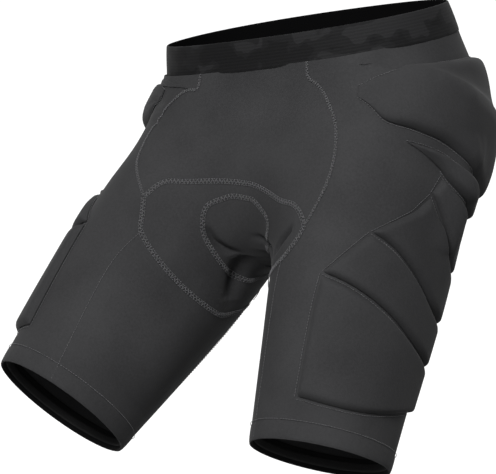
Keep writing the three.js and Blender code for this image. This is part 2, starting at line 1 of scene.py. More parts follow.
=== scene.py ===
"""Padded impact shorts: sewn stretch panels, foam pads, flat-locked seams, waistband, hems and seat pad.

Everything is in metres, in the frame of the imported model: the origin is the centre of the waist opening,
+Z points up out of the waist, -Y is the front and +X is the wearer's left. A place on the garment is
(d, angle): the distance down a line from the waist into the leg, and the turn round that line in degrees,
0 at the front and 90 at the outer side.
"""

from __future__ import annotations

import logging
import math
from collections.abc import Callable, Sequence
from dataclasses import dataclass, field
from enum import Enum

import bpy
import numpy as np
from mathutils import Matrix, Vector


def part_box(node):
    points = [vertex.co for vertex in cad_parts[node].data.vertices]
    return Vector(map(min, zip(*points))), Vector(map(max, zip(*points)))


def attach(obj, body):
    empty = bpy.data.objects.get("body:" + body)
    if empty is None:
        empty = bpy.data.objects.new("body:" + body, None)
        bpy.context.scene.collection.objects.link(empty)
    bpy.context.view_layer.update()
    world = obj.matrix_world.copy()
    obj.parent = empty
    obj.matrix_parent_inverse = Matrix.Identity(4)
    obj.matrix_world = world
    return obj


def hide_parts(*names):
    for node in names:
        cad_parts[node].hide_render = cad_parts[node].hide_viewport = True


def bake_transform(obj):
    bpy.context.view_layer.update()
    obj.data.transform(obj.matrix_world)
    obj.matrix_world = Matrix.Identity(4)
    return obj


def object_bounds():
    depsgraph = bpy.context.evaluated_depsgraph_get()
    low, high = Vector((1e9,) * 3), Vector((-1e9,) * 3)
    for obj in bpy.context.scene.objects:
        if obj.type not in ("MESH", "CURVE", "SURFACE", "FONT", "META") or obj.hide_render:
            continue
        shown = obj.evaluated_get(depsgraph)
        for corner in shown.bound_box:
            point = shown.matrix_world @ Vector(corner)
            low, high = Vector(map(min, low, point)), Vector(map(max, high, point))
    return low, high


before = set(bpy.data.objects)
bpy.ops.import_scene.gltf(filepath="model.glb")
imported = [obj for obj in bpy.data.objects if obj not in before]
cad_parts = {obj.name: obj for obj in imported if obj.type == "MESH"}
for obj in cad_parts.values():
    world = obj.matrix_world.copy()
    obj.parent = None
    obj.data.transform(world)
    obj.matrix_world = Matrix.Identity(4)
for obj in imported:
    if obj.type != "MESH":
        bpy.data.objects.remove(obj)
CAD_BOUNDS = [list(corner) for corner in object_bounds()]

LOG = logging.getLogger("impact_shorts")
MM = 0.001
HARD_EDGE = math.radians(50)  # edges that turn more than this stay sharp

Curve = Callable[[np.ndarray], tuple[np.ndarray, np.ndarray]]


# ---- Numbers -------------------------------------------------------------------------------------


def unit(v: np.ndarray) -> np.ndarray:
    """Returns the vectors at length one."""
    return v / np.maximum(np.linalg.norm(v, axis=-1, keepdims=True), 1e-12)


def dot(a: np.ndarray, b: np.ndarray) -> np.ndarray:
    """Returns the dot product of each pair of vectors."""
    return np.sum(a * b, axis=-1)


def smooth_step(x: np.ndarray) -> np.ndarray:
    """Returns a smooth rise from 0 to 1 as x goes from 0 to 1."""
    t = np.clip(x, 0, 1)
    return t * t * (3 - 2 * t)


def along(stations: Sequence[float], values: Sequence[float], x: np.ndarray) -> np.ndarray:
    """Reads a smooth curve through values at rising or falling stations.

    Args:
        stations: Places of the values.
        values: The values.
        x: Where to read, held within the stations.

    Returns:
        The curve at x.
    """
    order = 1 if stations[0] < stations[-1] else -1
    xs = np.asarray(stations, float)[::order]
    ys = np.asarray(values, float)[::order]
    chord = np.diff(ys) / np.diff(xs)
    slope = np.concatenate([chord[:1], (chord[1:] + chord[:-1]) / 2, chord[-1:]])
    at = np.clip(x, xs[0], xs[-1])
    i = np.clip(np.searchsorted(xs, at, side="right") - 1, 0, len(xs) - 2)
    width = xs[i + 1] - xs[i]
    t = (at - xs[i]) / width
    back = 1 - t
    start = (1 + 2 * t) * back * back * ys[i] + t * back * back * width * slope[i]
    end = t * t * (3 - 2 * t) * ys[i + 1] - t * t * back * width * slope[i + 1]
    return start + end


def soft_min(a: np.ndarray, b: np.ndarray, radius: float) -> np.ndarray:
    """Returns the smaller of a and b, with the inside corner between them rounded over radius."""
    h = np.clip(0.5 + 0.5 * (b - a) / radius, 0, 1)
    return b * (1 - h) + a * h - radius * h * (1 - h)


def seam(*points: tuple[float, float]) -> Curve:
    """Makes a smooth curve through places of the garment.

    Args:
        *points: Places as (d in millimetres, angle in degrees).

    Returns:
        A function of shares of the way, from 0 to 1, that gives d in metres and angle in degrees.
    """
    knots = np.array(points, float)
    knots = np.vstack([2 * knots[0] - knots[1], knots, 2 * knots[-1] - knots[-2]])
    step = np.maximum(np.linalg.norm(np.diff(knots, axis=0), axis=1) ** 0.5, 1e-6)
    fine = []
    for k in range(1, len(knots) - 2):
        p0, p1, p2, p3 = knots[k - 1:k + 3]
        s0, s1, s2 = step[k - 1:k + 2]
        m1 = ((p1 - p0) / s0 - (p2 - p0) / (s0 + s1) + (p2 - p1) / s1) * s1
        m2 = ((p2 - p1) / s1 - (p3 - p1) / (s1 + s2) + (p3 - p2) / s2) * s1
        t = np.linspace(0, 1, 41)[:-1, None]
        fine.append((2 * t**3 - 3 * t**2 + 1) * p1 + (t**3 - 2 * t**2 + t) * m1
                    + (3 * t**2 - 2 * t**3) * p2 + (t**3 - t**2) * m2)
    line = np.vstack([*fine, knots[-2:-1]])
    length = np.concatenate([[0], np.cumsum(np.linalg.norm(np.diff(line, axis=0), axis=1))])

    def read(u: np.ndarray) -> tuple[np.ndarray, np.ndarray]:
        """Reads the curve at shares of the way."""
        at = np.clip(u, 0, 1) * length[-1]
        return np.interp(at, length, line[:, 0]) * MM, np.interp(at, length, line[:, 1])

    return read


# ---- Body form -----------------------------------------------------------------------------------


@dataclass(frozen=True)
class SeatForm:
    """Outer form of the garment from waist to crotch: half width, front and back at each height."""

    z: tuple[float, ...] = (0, -0.033, -0.090, -0.150, -0.200, -0.236, -0.256)
    half_width: tuple[float, ...] = (0.160, 0.167, 0.177, 0.166, 0.146, 0.084, 0.024)
    front: tuple[float, ...] = (-0.107, -0.110, -0.133, -0.147, -0.140, -0.104, -0.050)
    back: tuple[float, ...] = (0.107, 0.111, 0.127, 0.135, 0.128, 0.092, 0.024)
    squareness: float = 2.2

    def ring(self, z: np.ndarray) -> tuple[np.ndarray, np.ndarray, np.ndarray]:
        """Returns half width, front and back at height z."""
        return along(self.z, self.half_width, z), along(self.z, self.front, z), along(self.z, self.back, z)

    def field(self, p: np.ndarray) -> np.ndarray:
        """Returns the signed distance, near enough, of points from the form.

        Args:
            p: Points.

        Returns:
            The distances: negative inside.
        """
        half_width, front, back = self.ring(p[..., 2])
        half_depth = (back - front) / 2
        n = self.squareness
        across = np.abs(p[..., 0] / half_width) ** n
        deep = np.abs((p[..., 1] - (front + back) / 2) / half_depth) ** n
        distance = ((across + deep) ** (1 / n) - 1) * np.sqrt(half_width * half_depth) * 0.9
        return np.maximum(distance, self.z[-1] - p[..., 2])


@dataclass(frozen=True)
class LegLine:
    """One leg: its place, its pose, its tube, and the line that garment distances are measured down."""

    name: str
    side: int
    flexion: float
    spread: float
    length: float = 0.326
    hip_offset: tuple[float, float, float] = (0.092, -0.036, -0.137)
    straight_top: float = 0.040
    bend_length: float = 0.190
    bend_end: float = 0.080
    top_offset: float = 0.050
    half_widths: tuple[float, ...] = (0.088, 0.086, 0.081, 0.075, 0.071)
    half_depths: tuple[float, ...] = (0.097, 0.100, 0.099, 0.089, 0.074)
    fullness: float = 1.0
    twist: float = 0.0

    @property
    def stations(self) -> tuple[float, ...]:
        """Distances below the hip centre at which the tube's size is given."""
        return (-0.040, 0.050, 0.140, 0.230, self.length)

    @property
    def hip(self) -> np.ndarray:
        """Hip centre."""
        x, y, z = self.hip_offset
        return np.array([self.side * x, y, z])

    @property
    def down(self) -> np.ndarray:
        """Direction down the leg.

        Returns:
            The direction, at length one.
        """
        bend, out = math.radians(self.flexion), math.radians(self.spread)
        straight = math.cos(out)
        return np.array([self.side * math.sin(out), -math.sin(bend) * straight, -math.cos(bend) * straight])

    @property
    def hem_d(self) -> float:
        """Garment distance of the hem."""
        return self.straight_top + self.bend_length + self.length - self.bend_end

    def cross_axes(self, down: np.ndarray) -> tuple[np.ndarray, np.ndarray]:
        """Returns the outward and forward directions across lines that point down.

        Args:
            down: The directions of the lines.

        Returns:
            The outward and the forward directions.
        """
        aside = np.array([self.side, 0.0, 0.0])
        outward = unit(aside - down * dot(aside, down)[..., None])
        forward = np.cross(down, outward)
        return outward, forward * np.where(forward[..., 1:2] > 0, -1, 1)

    def field(self, p: np.ndarray) -> np.ndarray:
        """Returns the signed distance, near enough, of points from the leg's tube.

        Args:
            p: Points.

        Returns:
            The distances: negative inside.
        """
        outward, forward = self.cross_axes(self.down)
        offset = p - self.hip
        s = offset @ self.down
        half_width = along(self.stations, self.half_widths, s) * self.fullness
        half_depth = along(self.stations, self.half_depths, s) * self.fullness
        ratio = np.hypot(offset @ outward / half_width, offset @ forward / half_depth)
        return np.maximum((ratio - 1) * np.sqrt(half_width * half_depth), self.stations[0] - s)

    def line_at(self, d: np.ndarray) -> tuple[np.ndarray, np.ndarray, np.ndarray, np.ndarray]:
        """Reads the leg's line.

        Args:
            d: Garment distances.

        Returns:
            The points of the line, and its downward, outward and forward directions there.
        """
        handle = self.bend_length * 0.38
        p0 = np.array([self.side * self.top_offset, 0, -self.straight_top])
        p3 = self.hip + self.down * self.bend_end
        p1 = p0 - np.array([0, 0, handle])
        p2 = p3 - self.down * handle
        share = (np.asarray(d, float)[..., None] - self.straight_top) / self.bend_length
        u = np.clip(share, 0, 1)
        w = 1 - u
        origin = w**3 * p0 + 3 * u * w**2 * p1 + 3 * u**2 * w * p2 + u**3 * p3
        down = unit(3 * w**2 * (p1 - p0) + 6 * u * w * (p2 - p1) + 3 * u**2 * (p3 - p2))
        origin = origin + down * (share - u) * self.bend_length
        return origin, down, *self.cross_axes(down)


@dataclass(frozen=True)
class Fold:
    """A crease or a ridge in the fabric along a short line of the garment."""

    leg: str
    points: tuple[tuple[float, float], ...]
    height: float
    width: float


@dataclass
class Body:
    """The filled-out form that every layer of the shorts lies on.

    The cloth is pulled round each leg by the leg's twist, most of all at pull_d and pull_angle, the shoulder
    of the gusset, and less over pull_length and pull_spread.
    """

    seat: SeatForm = field(default_factory=SeatForm)
    legs: tuple[LegLine, ...] = (LegLine("left", 1, 33, -3.5, fullness=0.985, twist=8),
                                 LegLine("right", -1, 50, 18.5, fullness=1.05, twist=-8))
    core: tuple[float, float, float] = (0.0, -0.010, -0.120)
    hip_blend: float = 0.045
    crotch_blend: float = 0.012
    pull_d: float = 0.278
    pull_length: float = 0.040
    pull_angle: float = -12
    pull_spread: float = 25
    lines: list[tuple[np.ndarray, Fold]] = field(default_factory=list)

    def field(self, p: np.ndarray) -> np.ndarray:
        """Returns the signed distance, near enough, of points from the form: negative inside the wearer."""
        both = soft_min(self.legs[0].field(p), self.legs[1].field(p), self.crotch_blend)
        return soft_min(self.seat.field(p), both, self.hip_blend)

    def normal(self, p: np.ndarray) -> np.ndarray:
        """Returns the outward directions of the form at points.

        Args:
            p: Points.

        Returns:
            The directions, at length one.
        """
        reach = 0.0015
        slope = [self.field(p + step) - self.field(p - step) for step in np.eye(3) * reach]
        return unit(np.stack(slope, axis=-1))

    def surface(self, origin: np.ndarray, direction: np.ndarray, side: int = 0) -> np.ndarray:
        """Finds the first point of the form on straight lines out of the body.

        Args:
            origin: Where the lines start, inside the form.
            direction: Their directions.
            side: The side that the lines may not leave through the centre plane, or 0.

        Returns:
            The points.
        """
        step, most_steps, halvings = 0.006, 60, 12

        def held(distance: np.ndarray) -> np.ndarray:
            """Says at which distances the lines are still inside."""
            p = origin + direction * distance[..., None]
            return (self.field(p) < 0) & (p[..., 0] * side >= 0)

        far = np.full(origin.shape[:-1], step)
        for _ in range(most_steps):
            inside = held(far)
            if not inside.any():
                break
            far = np.where(inside, far + step, far)
        near = far - step
        for _ in range(halvings):
            middle = (near + far) / 2
            inside = held(middle)
            near, far = np.where(inside, middle, near), np.where(inside, far, middle)
        return origin + direction * far[..., None]

    def place(self, leg: LegLine, d: np.ndarray, angle: np.ndarray) -> np.ndarray:
        """Returns the points of the form at garment coordinates.

        Args:
            leg: The leg whose coordinates they are.
            d: Garment distances.
            angle: Garment angles in degrees.

        Returns:
            The points.
        """
        origin, _, outward, forward = leg.line_at(d)
        off_d, off_angle = (d - self.pull_d) / self.pull_length, (angle - self.pull_angle) / self.pull_spread
        pull = leg.twist * np.exp(-off_d ** 2 - off_angle ** 2)
        turn = np.radians(angle + pull)[..., None]
        return self.surface(origin, forward * np.cos(turn) + outward * np.sin(turn), leg.side)

    def coordinates(self, leg: LegLine, p: np.ndarray, start: float) -> tuple[float, float]:
        """Finds the garment coordinates of one point, with its angle between start and start + 360.

        Args:
            leg: The leg whose coordinates are wanted.
            p: The point.
            start: The smallest angle that may be returned.

        Returns:
            The garment distance and angle.
        """
        steps = 2400
        d = np.linspace(0, leg.hem_d, steps)
        origin, down, outward, forward = leg.line_at(d)
        height = dot(p - origin, down)
        crossing = np.flatnonzero(height[:-1] * height[1:] <= 0)
        k = min(crossing, key=lambda i: np.linalg.norm(p - origin[i]))
        across = p - origin[k]
        turn = math.degrees(math.atan2(across @ outward[k], across @ forward[k]))
        return float(d[k]), turn + 360 if turn < start else turn

    def centre_point(self, degrees: np.ndarray) -> np.ndarray:
        """Returns points of the form on the centre plane: 0 degrees is the front, 90 is down.

        Args:
            degrees: Angles on the centre plane.

        Returns:
            The points.
        """
        turn = np.radians(degrees)
        direction = np.stack([np.zeros_like(turn), -np.cos(turn), -np.sin(turn)], axis=-1)
        return self.surface(np.broadcast_to(np.array(self.core), direction.shape), direction)

    def centre_angle(self, z: float, is_back: bool) -> float:
        """Finds the angle on the centre plane at which the form passes a height."""
        angles = np.linspace(180, 250, 700) if is_back else np.linspace(-70, 0, 700)
        return float(angles[np.argmin(np.abs(self.centre_point(angles)[:, 2] - z))])

    def lay_folds(self, folds: Sequence[Fold]) -> None:
        """Places the folds of the fabric, which every layer then follows.

        Args:
            folds: The folds.
        """
        legs = {leg.name: leg for leg in self.legs}
        for fold in folds:
            d, angle = seam(*fold.points)(np.linspace(0, 1, 24))
            self.lines.append((self.place(legs[fold.leg], d, angle), fold))

    def fold_height(self, p: np.ndarray) -> np.ndarray:
        """Returns how far the folds lift or sink the fabric at points.

        Args:
            p: Points.

        Returns:
            The lift at each point: negative in a crease.
        """
        height = np.zeros(p.shape[:-1])
        for line, fold in self.lines:
            gap = np.linalg.norm(p[..., None, :] - line, axis=-1)
            share = np.argmin(gap, axis=-1) / (len(line) - 1)
            fade = np.sin(np.pi * (share * 0.96 + 0.02)) ** 0.6
            height += fold.height * fade * np.exp(-(gap.min(axis=-1) / fold.width) ** 2)
        return height

    def raised(self, p: np.ndarray, height: np.ndarray | float) -> np.ndarray:
        """Lifts points of the form to a height above it, with the folds."""
        lift = np.broadcast_to(np.asarray(height, float), p.shape[:-1]) + self.fold_height(p)
        return p + self.normal(p) * lift[..., None]


# ---- Colours and node helper ---------------------------------------------------------------------


def linear(code: str) -> tuple[float, float, float, float]:
    """Turns an sRGB hex colour into a linear one.

    Args:
        code: The colour, as #rrggbb.

    Returns:
        Red, green, blue and full opacity.
    """
    parts = [int(code[i:i + 2], 16) / 255 for i in (1, 3, 5)]
    r, g, b = (c / 12.92 if c <= 0.04045 else ((c + 0.055) / 1.055) ** 2.4 for c in parts)
    return r, g, b, 1.0


def add(tree: bpy.types.NodeTree, kind: str, links: dict | None = None, **settings: object) -> bpy.types.Node:
    """Adds a node with its settings and links.

    Args:
        tree: The node tree.
        kind: The node's type name, without "ShaderNode".
        links: Input name or number, to a value or to another node's output socket.
        **settings: The node's own properties.

    Returns:
        The new node.
    """
    node = tree.nodes.new("ShaderNode" + kind)
    for name, value in settings.items():
        setattr(node, name, value)
    for name, value in (links or {}).items():
        socket = node.inputs[name]
        if isinstance(value, bpy.types.NodeSocket):
            tree.links.new(value, socket)
        else:
            socket.default_value = value
    return node


def new_material(name: str) -> tuple[bpy.types.Material, bpy.types.NodeTree, bpy.types.Node]:
    """Makes a material that holds only its output, and returns it with its tree and output.

    Args:
        name: Name of the material.

    Returns:
        The material, its tree and its output node.
    """
    material = bpy.data.materials.new(name)
    material.use_nodes = True
    tree = material.node_tree
    tree.nodes.clear()
    return material, tree, add(tree, "OutputMaterial")


# ---- Finishes ------------------------------------------------------------------------------------


@dataclass(frozen=True)
class StretchKnit:
    """Warp-knitted nylon and elastane, dyed charcoal: matt, finely ribbed, a faint sheen at low angles.

    The heather and the cloud are the sizes in millimetres of its fine and its broad shades.
    """

    name: str = "warp_knit_nylon_charcoal"
    light: str = "#2d2d2e"
    dark: str = "#242425"
    roughness: float = 0.85
    sheen: float = 0.03
    rib_pitch: float = 1.3  # a real course is about 0.4 mm: drawn three times as coarse so that it shows
    rib_depth: float = 0.20
    heather: float = 2.2
    cloud: float = 70.0

    def make(self) -> bpy.types.Material:
        """Builds the material.

        Returns:
            The material.
        """
        material, tree, output = new_material(self.name)
        at = add(tree, "TexCoord").outputs["Object"]
        heather = add(tree, "TexNoise", {"Vector": at, "Scale": 1 / (self.heather * MM), "Detail": 3.0,
                                         "Roughness": 0.7})
        cloud = add(tree, "TexNoise", {"Vector": at, "Scale": 1 / (self.cloud * MM), "Detail": 2.0})
        blend = add(tree, "Math", {0: heather.outputs["Fac"], 1: cloud.outputs["Fac"]}, operation="ADD")
        share = add(tree, "MapRange", {"Value": blend.outputs[0], "From Min": 0.75, "From Max": 1.25})
        shades = {"Factor": share.outputs[0], "A": linear(self.dark), "B": linear(self.light)}
        colour = add(tree, "Mix", shades, data_type="RGBA")
        ribs = add(tree, "TexVoronoi", {"Vector": at, "Scale": 1 / (self.rib_pitch * MM)}, feature="F1")
        bump = add(tree, "Bump", {"Height": ribs.outputs["Distance"], "Strength": 0.35,
                                  "Distance": self.rib_depth * MM})
        shader = add(tree, "BsdfPrincipled", {
            "Base Color": colour.outputs["Result"], "Roughness": self.roughness, "Specular IOR Level": 0.16,
            "Sheen Weight": self.sheen, "Sheen Roughness": 0.45, "Normal": bump.outputs[0]})
        tree.links.new(shader.outputs[0], output.inputs[0])
        return material


@dataclass(frozen=True)
class TonalElastic:
    """Jacquard-woven elastic: black, with blotches of a slightly paler weave and fine cross ribs.

    The blotch, the wander of its outline, the fibre and the rib pitch are in millimetres.
    """

    name: str = "jacquard_elastic_black"
    ground: str = "#0b0b0c"
    mid: str = "#111112"
    pale: str = "#1b1b1c"
    blotch: float = 30.0
    wander: float = 22.0
    fibre: float = 1.5
    rib_pitch: float = 1.6  # a real rib is about 0.8 mm: drawn twice as coarse so that it shows

    def make(self) -> bpy.types.Material:
        """Builds the material.

        Returns:
            The material.
        """
        material, tree, output = new_material(self.name)
        at = add(tree, "TexCoord").outputs["Object"]
        warp = add(tree, "TexNoise", {"Vector": at, "Scale": 1 / (self.wander * MM), "Detail": 2.0})
        bent = add(tree, "VectorMath", {0: warp.outputs["Color"], 1: (0.03, 0.03, 0.03), 2: at},
                   operation="MULTIPLY_ADD")
        stretch = add(tree, "Mapping", {"Vector": bent.outputs[0], "Scale": (0.55, 0.55, 1.3)})
        spots = add(tree, "TexNoise", {"Vector": stretch.outputs[0], "Scale": 1 / (self.blotch * MM),
                                       "Detail": 1.5, "Roughness": 0.6})
        ramp = add(tree, "ValToRGB", {"Fac": spots.outputs["Fac"]})
        stops = ((0.46, self.ground), (0.475, self.mid), (0.56, self.mid), (0.575, self.pale))
        while len(ramp.color_ramp.elements) < len(stops):
            ramp.color_ramp.elements.new(0.5)
        for element, (place, code) in zip(ramp.color_ramp.elements, stops):
            element.position = place
            element.color = linear(code)
        fibre = add(tree, "TexNoise", {"Vector": at, "Scale": 1 / (self.fibre * MM), "Detail": 2.0})
        grain = add(tree, "Mix", {"Factor": 0.18, "A": ramp.outputs["Color"], "B": fibre.outputs["Color"]},
                    data_type="RGBA", blend_type="MULTIPLY")
        waves = 1 / (self.rib_pitch * MM) / math.tau
        ribs = add(tree, "TexWave", {"Vector": at, "Scale": waves, "Distortion": 0.4}, bands_direction="Z")
        bump = add(tree, "Bump", {"Height": ribs.outputs["Fac"], "Strength": 0.5, "Distance": 0.25 * MM})
        shader = add(tree, "BsdfPrincipled", {
            "Base Color": grain.outputs["Result"], "Roughness": 0.8, "Specular IOR Level": 0.15,
            "Sheen Weight": 0.02, "Sheen Roughness": 0.4, "Normal": bump.outputs[0]})
        tree.links.new(shader.outputs[0], output.inputs[0])
        return material


@dataclass(frozen=True)
class SewingThread:
    """Textured polyester thread: soft, slightly shiny filaments, one shade paler than the cloth."""

    name: str
    colour: str
    roughness: float = 0.6
    ply: float = 0.9

    def make(self) -> bpy.types.Material:
        """Builds the material.

        Returns:
            The material.
        """
        material, tree, output = new_material(self.name)
        at = add(tree, "TexCoord").outputs["Object"]
        twist = add(tree, "TexNoise", {"Vector": at, "Scale": 1 / (self.ply * MM), "Detail": 1.0})
        shade = add(tree, "Mix", {"Factor": 0.35, "A": linear(self.colour), "B": twist.outputs["Color"]},
                    data_type="RGBA", blend_type="MULTIPLY")
        shader = add(tree, "BsdfPrincipled", {
            "Base Color": shade.outputs["Result"], "Roughness": self.roughness, "Specular IOR Level": 0.4,
            "Sheen Weight": 0.1})
        tree.links.new(shader.outputs[0], output.inputs[0])
        return material


@dataclass(frozen=True)
class Lining:
    """Cloth that faces the wearer: open mesh or brushed fleece, nearly black, with a dotted relief."""

    name: str
    colour: str
    cell: float
    depth: float
    shadow: str = "#050505"
    roughness: float = 0.95

    def make(self) -> bpy.types.Material:
        """Builds the material.

        Returns:
            The material.
        """
        material, tree, output = new_material(self.name)
        at = add(tree, "TexCoord").outputs["Object"]
        cells = add(tree, "TexVoronoi", {"Vector": at, "Scale": 1 / (self.cell * MM)}, feature="F1")
        shade = add(tree, "MapRange", {"Value": cells.outputs["Distance"], "From Min": 0.1, "From Max": 0.6,
                                       "To Min": 1.0, "To Max": 0.35})
        shades = {"Factor": shade.outputs[0], "A": linear(self.shadow), "B": linear(self.colour)}
        colour = add(tree, "Mix", shades, data_type="RGBA")
        relief = {"Height": cells.outputs["Distance"], "Strength": 0.6, "Distance": self.depth * MM}
        bump = add(tree, "Bump", relief, invert=True)
        shader = add(tree, "BsdfPrincipled", {
            "Base Color": colour.outputs["Result"], "Roughness": self.roughness, "Specular IOR Level": 0.05,
            "Normal": bump.outputs[0]})
        tree.links.new(shader.outputs[0], output.inputs[0])
        return material


@dataclass(frozen=True)
class MouldedRubber:
    """Moulded silicone or foam: even colour with a fine pitted skin."""

    name: str
    colour: str
    roughness: float
    pit: float
    pit_depth: float = 0.2

    def make(self) -> bpy.types.Material:
        """Builds the material.

        Returns:
            The material.
        """
        material, tree, output = new_material(self.name)
        at = add(tree, "TexCoord").outputs["Object"]
        pits = add(tree, "TexNoise", {"Vector": at, "Scale": 1 / (self.pit * MM), "Detail": 2.0})
        colour = add(tree, "Mix", {"Factor": 0.4, "A": linear(self.colour), "B": pits.outputs["Color"]},
                     data_type="RGBA", blend_type="MULTIPLY")
        relief = {"Height": pits.outputs["Fac"], "Strength": 0.3, "Distance": self.pit_depth * MM}
        bump = add(tree, "Bump", relief)
        shader = add(tree, "BsdfPrincipled", {
            "Base Color": colour.outputs["Result"], "Roughness": self.roughness, "IOR": 1.41,
            "Normal": bump.outputs[0]})
        tree.links.new(shader.outputs[0], output.inputs[0])
        return material


@dataclass(frozen=True)
class StudioPaper:
    """Seamless matt studio paper with painted glow: glow on the side opposite azimuth, front_glow on the
    other.
    """

    name: str
    colour: str
    azimuth: float
    glow: float = 0.0
    front_glow: float = 0.0

    def make(self) -> bpy.types.Material:
        """Builds the material.

        Returns:
            The material.
        """
        material, tree, output = new_material(self.name)
        turn = math.radians(self.azimuth)
        at = add(tree, "TexCoord").outputs["Object"]
        level = add(tree, "VectorMath", {0: at, 1: (1.0, 1.0, 0.0)}, operation="MULTIPLY")
        way = add(tree, "VectorMath", {0: level.outputs[0]}, operation="NORMALIZE")
        lit_side = (-math.sin(turn), math.cos(turn), 0.0)
        behind = add(tree, "VectorMath", {0: way.outputs[0], 1: lit_side}, operation="DOT_PRODUCT")
        spread = {"Value": behind.outputs["Value"], "From Min": 0.5, "From Max": 0.92,
                  "To Min": self.front_glow, "To Max": self.glow}
        glow = add(tree, "MapRange", spread, interpolation_type="SMOOTHSTEP")
        shader = add(tree, "BsdfPrincipled", {
            "Base Color": linear(self.colour), "Roughness": 0.9, "Specular IOR Level": 0.1,
            "Emission Color": linear("#ffffff"), "Emission Strength": glow.outputs[0]})
        tree.links.new(shader.outputs[0], output.inputs[0])
        return material


class Slot(Enum):
    """Material slots of the record."""

    FABRIC = "stretch_fabric"
    PAD = "pad_fabric"
    WAIST = "waist_elastic"
    THREAD = "flatlock_thread"
    MESH = "pocket_mesh"
    CHAMOIS = "seat_pad_fabric"
    FOAM = "seat_pad_foam"
    SILICONE = "hem_silicone"


@dataclass
class Wardrobe:
    """The finishes of the shorts, made once."""

    made: dict[str, bpy.types.Material] = field(default_factory=dict)

    def __post_init__(self) -> None:
        """Makes every finish."""
        self.made = {
            "knit": StretchKnit().make(),
            "pad_knit": StretchKnit("warp_knit_on_foam_charcoal", "#2b2b2c", "#232324").make(),
            # The inside finish is near-black: painted shade of the inside of the shorts, darker than the
            # knit's own colour.
            "inside": StretchKnit("knit_reverse_painted_shade", "#0c0c0d", "#070708", sheen=0.0).make(),
            "elastic": TonalElastic().make(),
            # The band's reverse is black plush, darkened further as painted shade of the inside of the band.
            "elastic_reverse": Lining("plush_elastic_reverse", "#050506", 1.2, 0.2).make(),
            "pale_thread": SewingThread("flatlock_thread_grey", "#545456").make(),
            "dark_thread": SewingThread("lockstitch_thread_charcoal", "#4e4e50").make(),
            "mesh": Lining("pocket_mesh_black", "#141415", 2.4, 0.5).make(),
            "chamois": Lining("seat_pad_fleece", "#26262a", 1.6, 0.3).make(),
            "foam": MouldedRubber("closed_cell_foam", "#505054", 0.9, 1.4).make(),
            "silicone": MouldedRubber("silicone_tape", "#0c0c0d", 0.7, 2.0).make(),
        }

    def dress(self, piece: bpy.types.Object, slot: Slot, *names: str) -> None:
        """Gives a piece its finishes.

        Args:
            piece: The piece.
            slot: Not used.
            *names: Its finishes, in the order of its material slots.
        """
        piece.data.materials.clear()
        for name in names:
            piece.data.materials.append(self.made[name])


# ---- Meshes --------------------------------------------------------------------------------------


def new_piece(name: str, vertices: np.ndarray, faces: Sequence[Sequence[int]]) -> bpy.types.Object:
    """Makes a smooth mesh object at the origin from points and faces.

    Args:
        name: Name of the piece.
        vertices: Its points.
        faces: Its faces, as lists of point numbers.

    Returns:
        The object.
    """
    mesh = bpy.data.meshes.new(name)
    mesh.from_pydata(np.asarray(vertices, float).reshape(-1, 3).tolist(), [], faces)
    mesh.validate()
    mesh.shade_smooth()
    piece = bpy.data.objects.new(name, mesh)
    bpy.context.scene.collection.objects.link(piece)
    return piece


def sheet_faces(rows: int, columns: int, ring: bool, first: int = 0) -> list[list[int]]:
    """Lists the faces of a grid of points; ring joins the last column to the first.

    Args:
        rows: Rows of points.
        columns: Points in a row.
        ring: Whether the last column joins the first.
        first: Number of the first point.

    Returns:
        The faces.
    """
    spans = columns if ring else columns - 1
    faces = []
    for i in range(rows - 1):
        upper, lower = first + i * columns, first + (i + 1) * columns
        for j in range(spans):
            k = (j + 1) % columns
            faces.append([upper + j, lower + j, lower + k, upper + k])
    return faces


def faces_out(grid: np.ndarray, normals: np.ndarray) -> bool:
    """Says whether the faces of a grid, as sheet_faces lists them, look along the normals.

    Args:
        grid: Points, by row and column.
        normals: Outward directions at the points.

    Returns:
        True where the faces look outwards.
    """
    i, j = grid.shape[0] // 2, grid.shape[1] // 2
    i, j = min(i, grid.shape[0] - 2), min(j, grid.shape[1] - 2)
    facing = np.cross(grid[i + 1, j] - grid[i, j], grid[i, j + 1] - grid[i, j])
    return float(facing @ normals[i, j]) > 0


def finish_stack(piece: bpy.types.Object) -> bpy.types.Object:
    """Applies a piece's modifiers and keeps its hard edges hard.

    Args:
        piece: The piece.

    Returns:
        The same piece.
    """
    bpy.context.view_layer.update()
    depsgraph = bpy.context.evaluated_depsgraph_get()
    done = bpy.data.meshes.new_from_object(piece.evaluated_get(depsgraph))
    piece.modifiers.clear()
    old = piece.data
    piece.data = done
    done.name = old.name
    bpy.data.meshes.remove(old)
    done.shade_smooth()
    done.set_sharp_from_angle(angle=HARD_EDGE)
    return piece


def add_modifier(piece: bpy.types.Object, kind: str, **settings: object) -> None:
    """Adds a modifier with its settings.

    Args:
        piece: The piece.
        kind: The type of the modifier.
        **settings: Its properties.
    """
    modifier = piece.modifiers.new(kind.lower(), kind)
    for name, value in settings.items():
        setattr(modifier, name, value)


def subdivide(piece: bpy.types.Object, levels: int = 1) -> None:
    """Adds a subdivision surface with equal levels in view and render."""
    add_modifier(piece, "SUBSURF", levels=levels, render_levels=levels, boundary_smooth="PRESERVE_CORNERS")


def cloth_piece(name: str, grid: np.ndarray, outward: np.ndarray, thickness: float) -> bpy.types.Object:
    """Makes a sheet of cloth with real thickness behind a grid of points on its outer face.

    Args:
        name: Name of the piece.
        grid: Points, by row and column.
        outward: Outward directions at the points.
        thickness: Thickness of the cloth.

    Returns:
        The finished piece, with a second material slot used by its inner face.
    """
    if not faces_out(grid, outward):
        grid = grid[::-1]
    piece = new_piece(name, grid, sheet_faces(grid.shape[0], grid.shape[1], False))
    subdivide(piece)
    add_modifier(piece, "SOLIDIFY", thickness=thickness, offset=-1.0, use_even_offset=False,
                 material_offset=1)
    for _ in range(2):
        piece.data.materials.append(None)
    return finish_stack(piece)


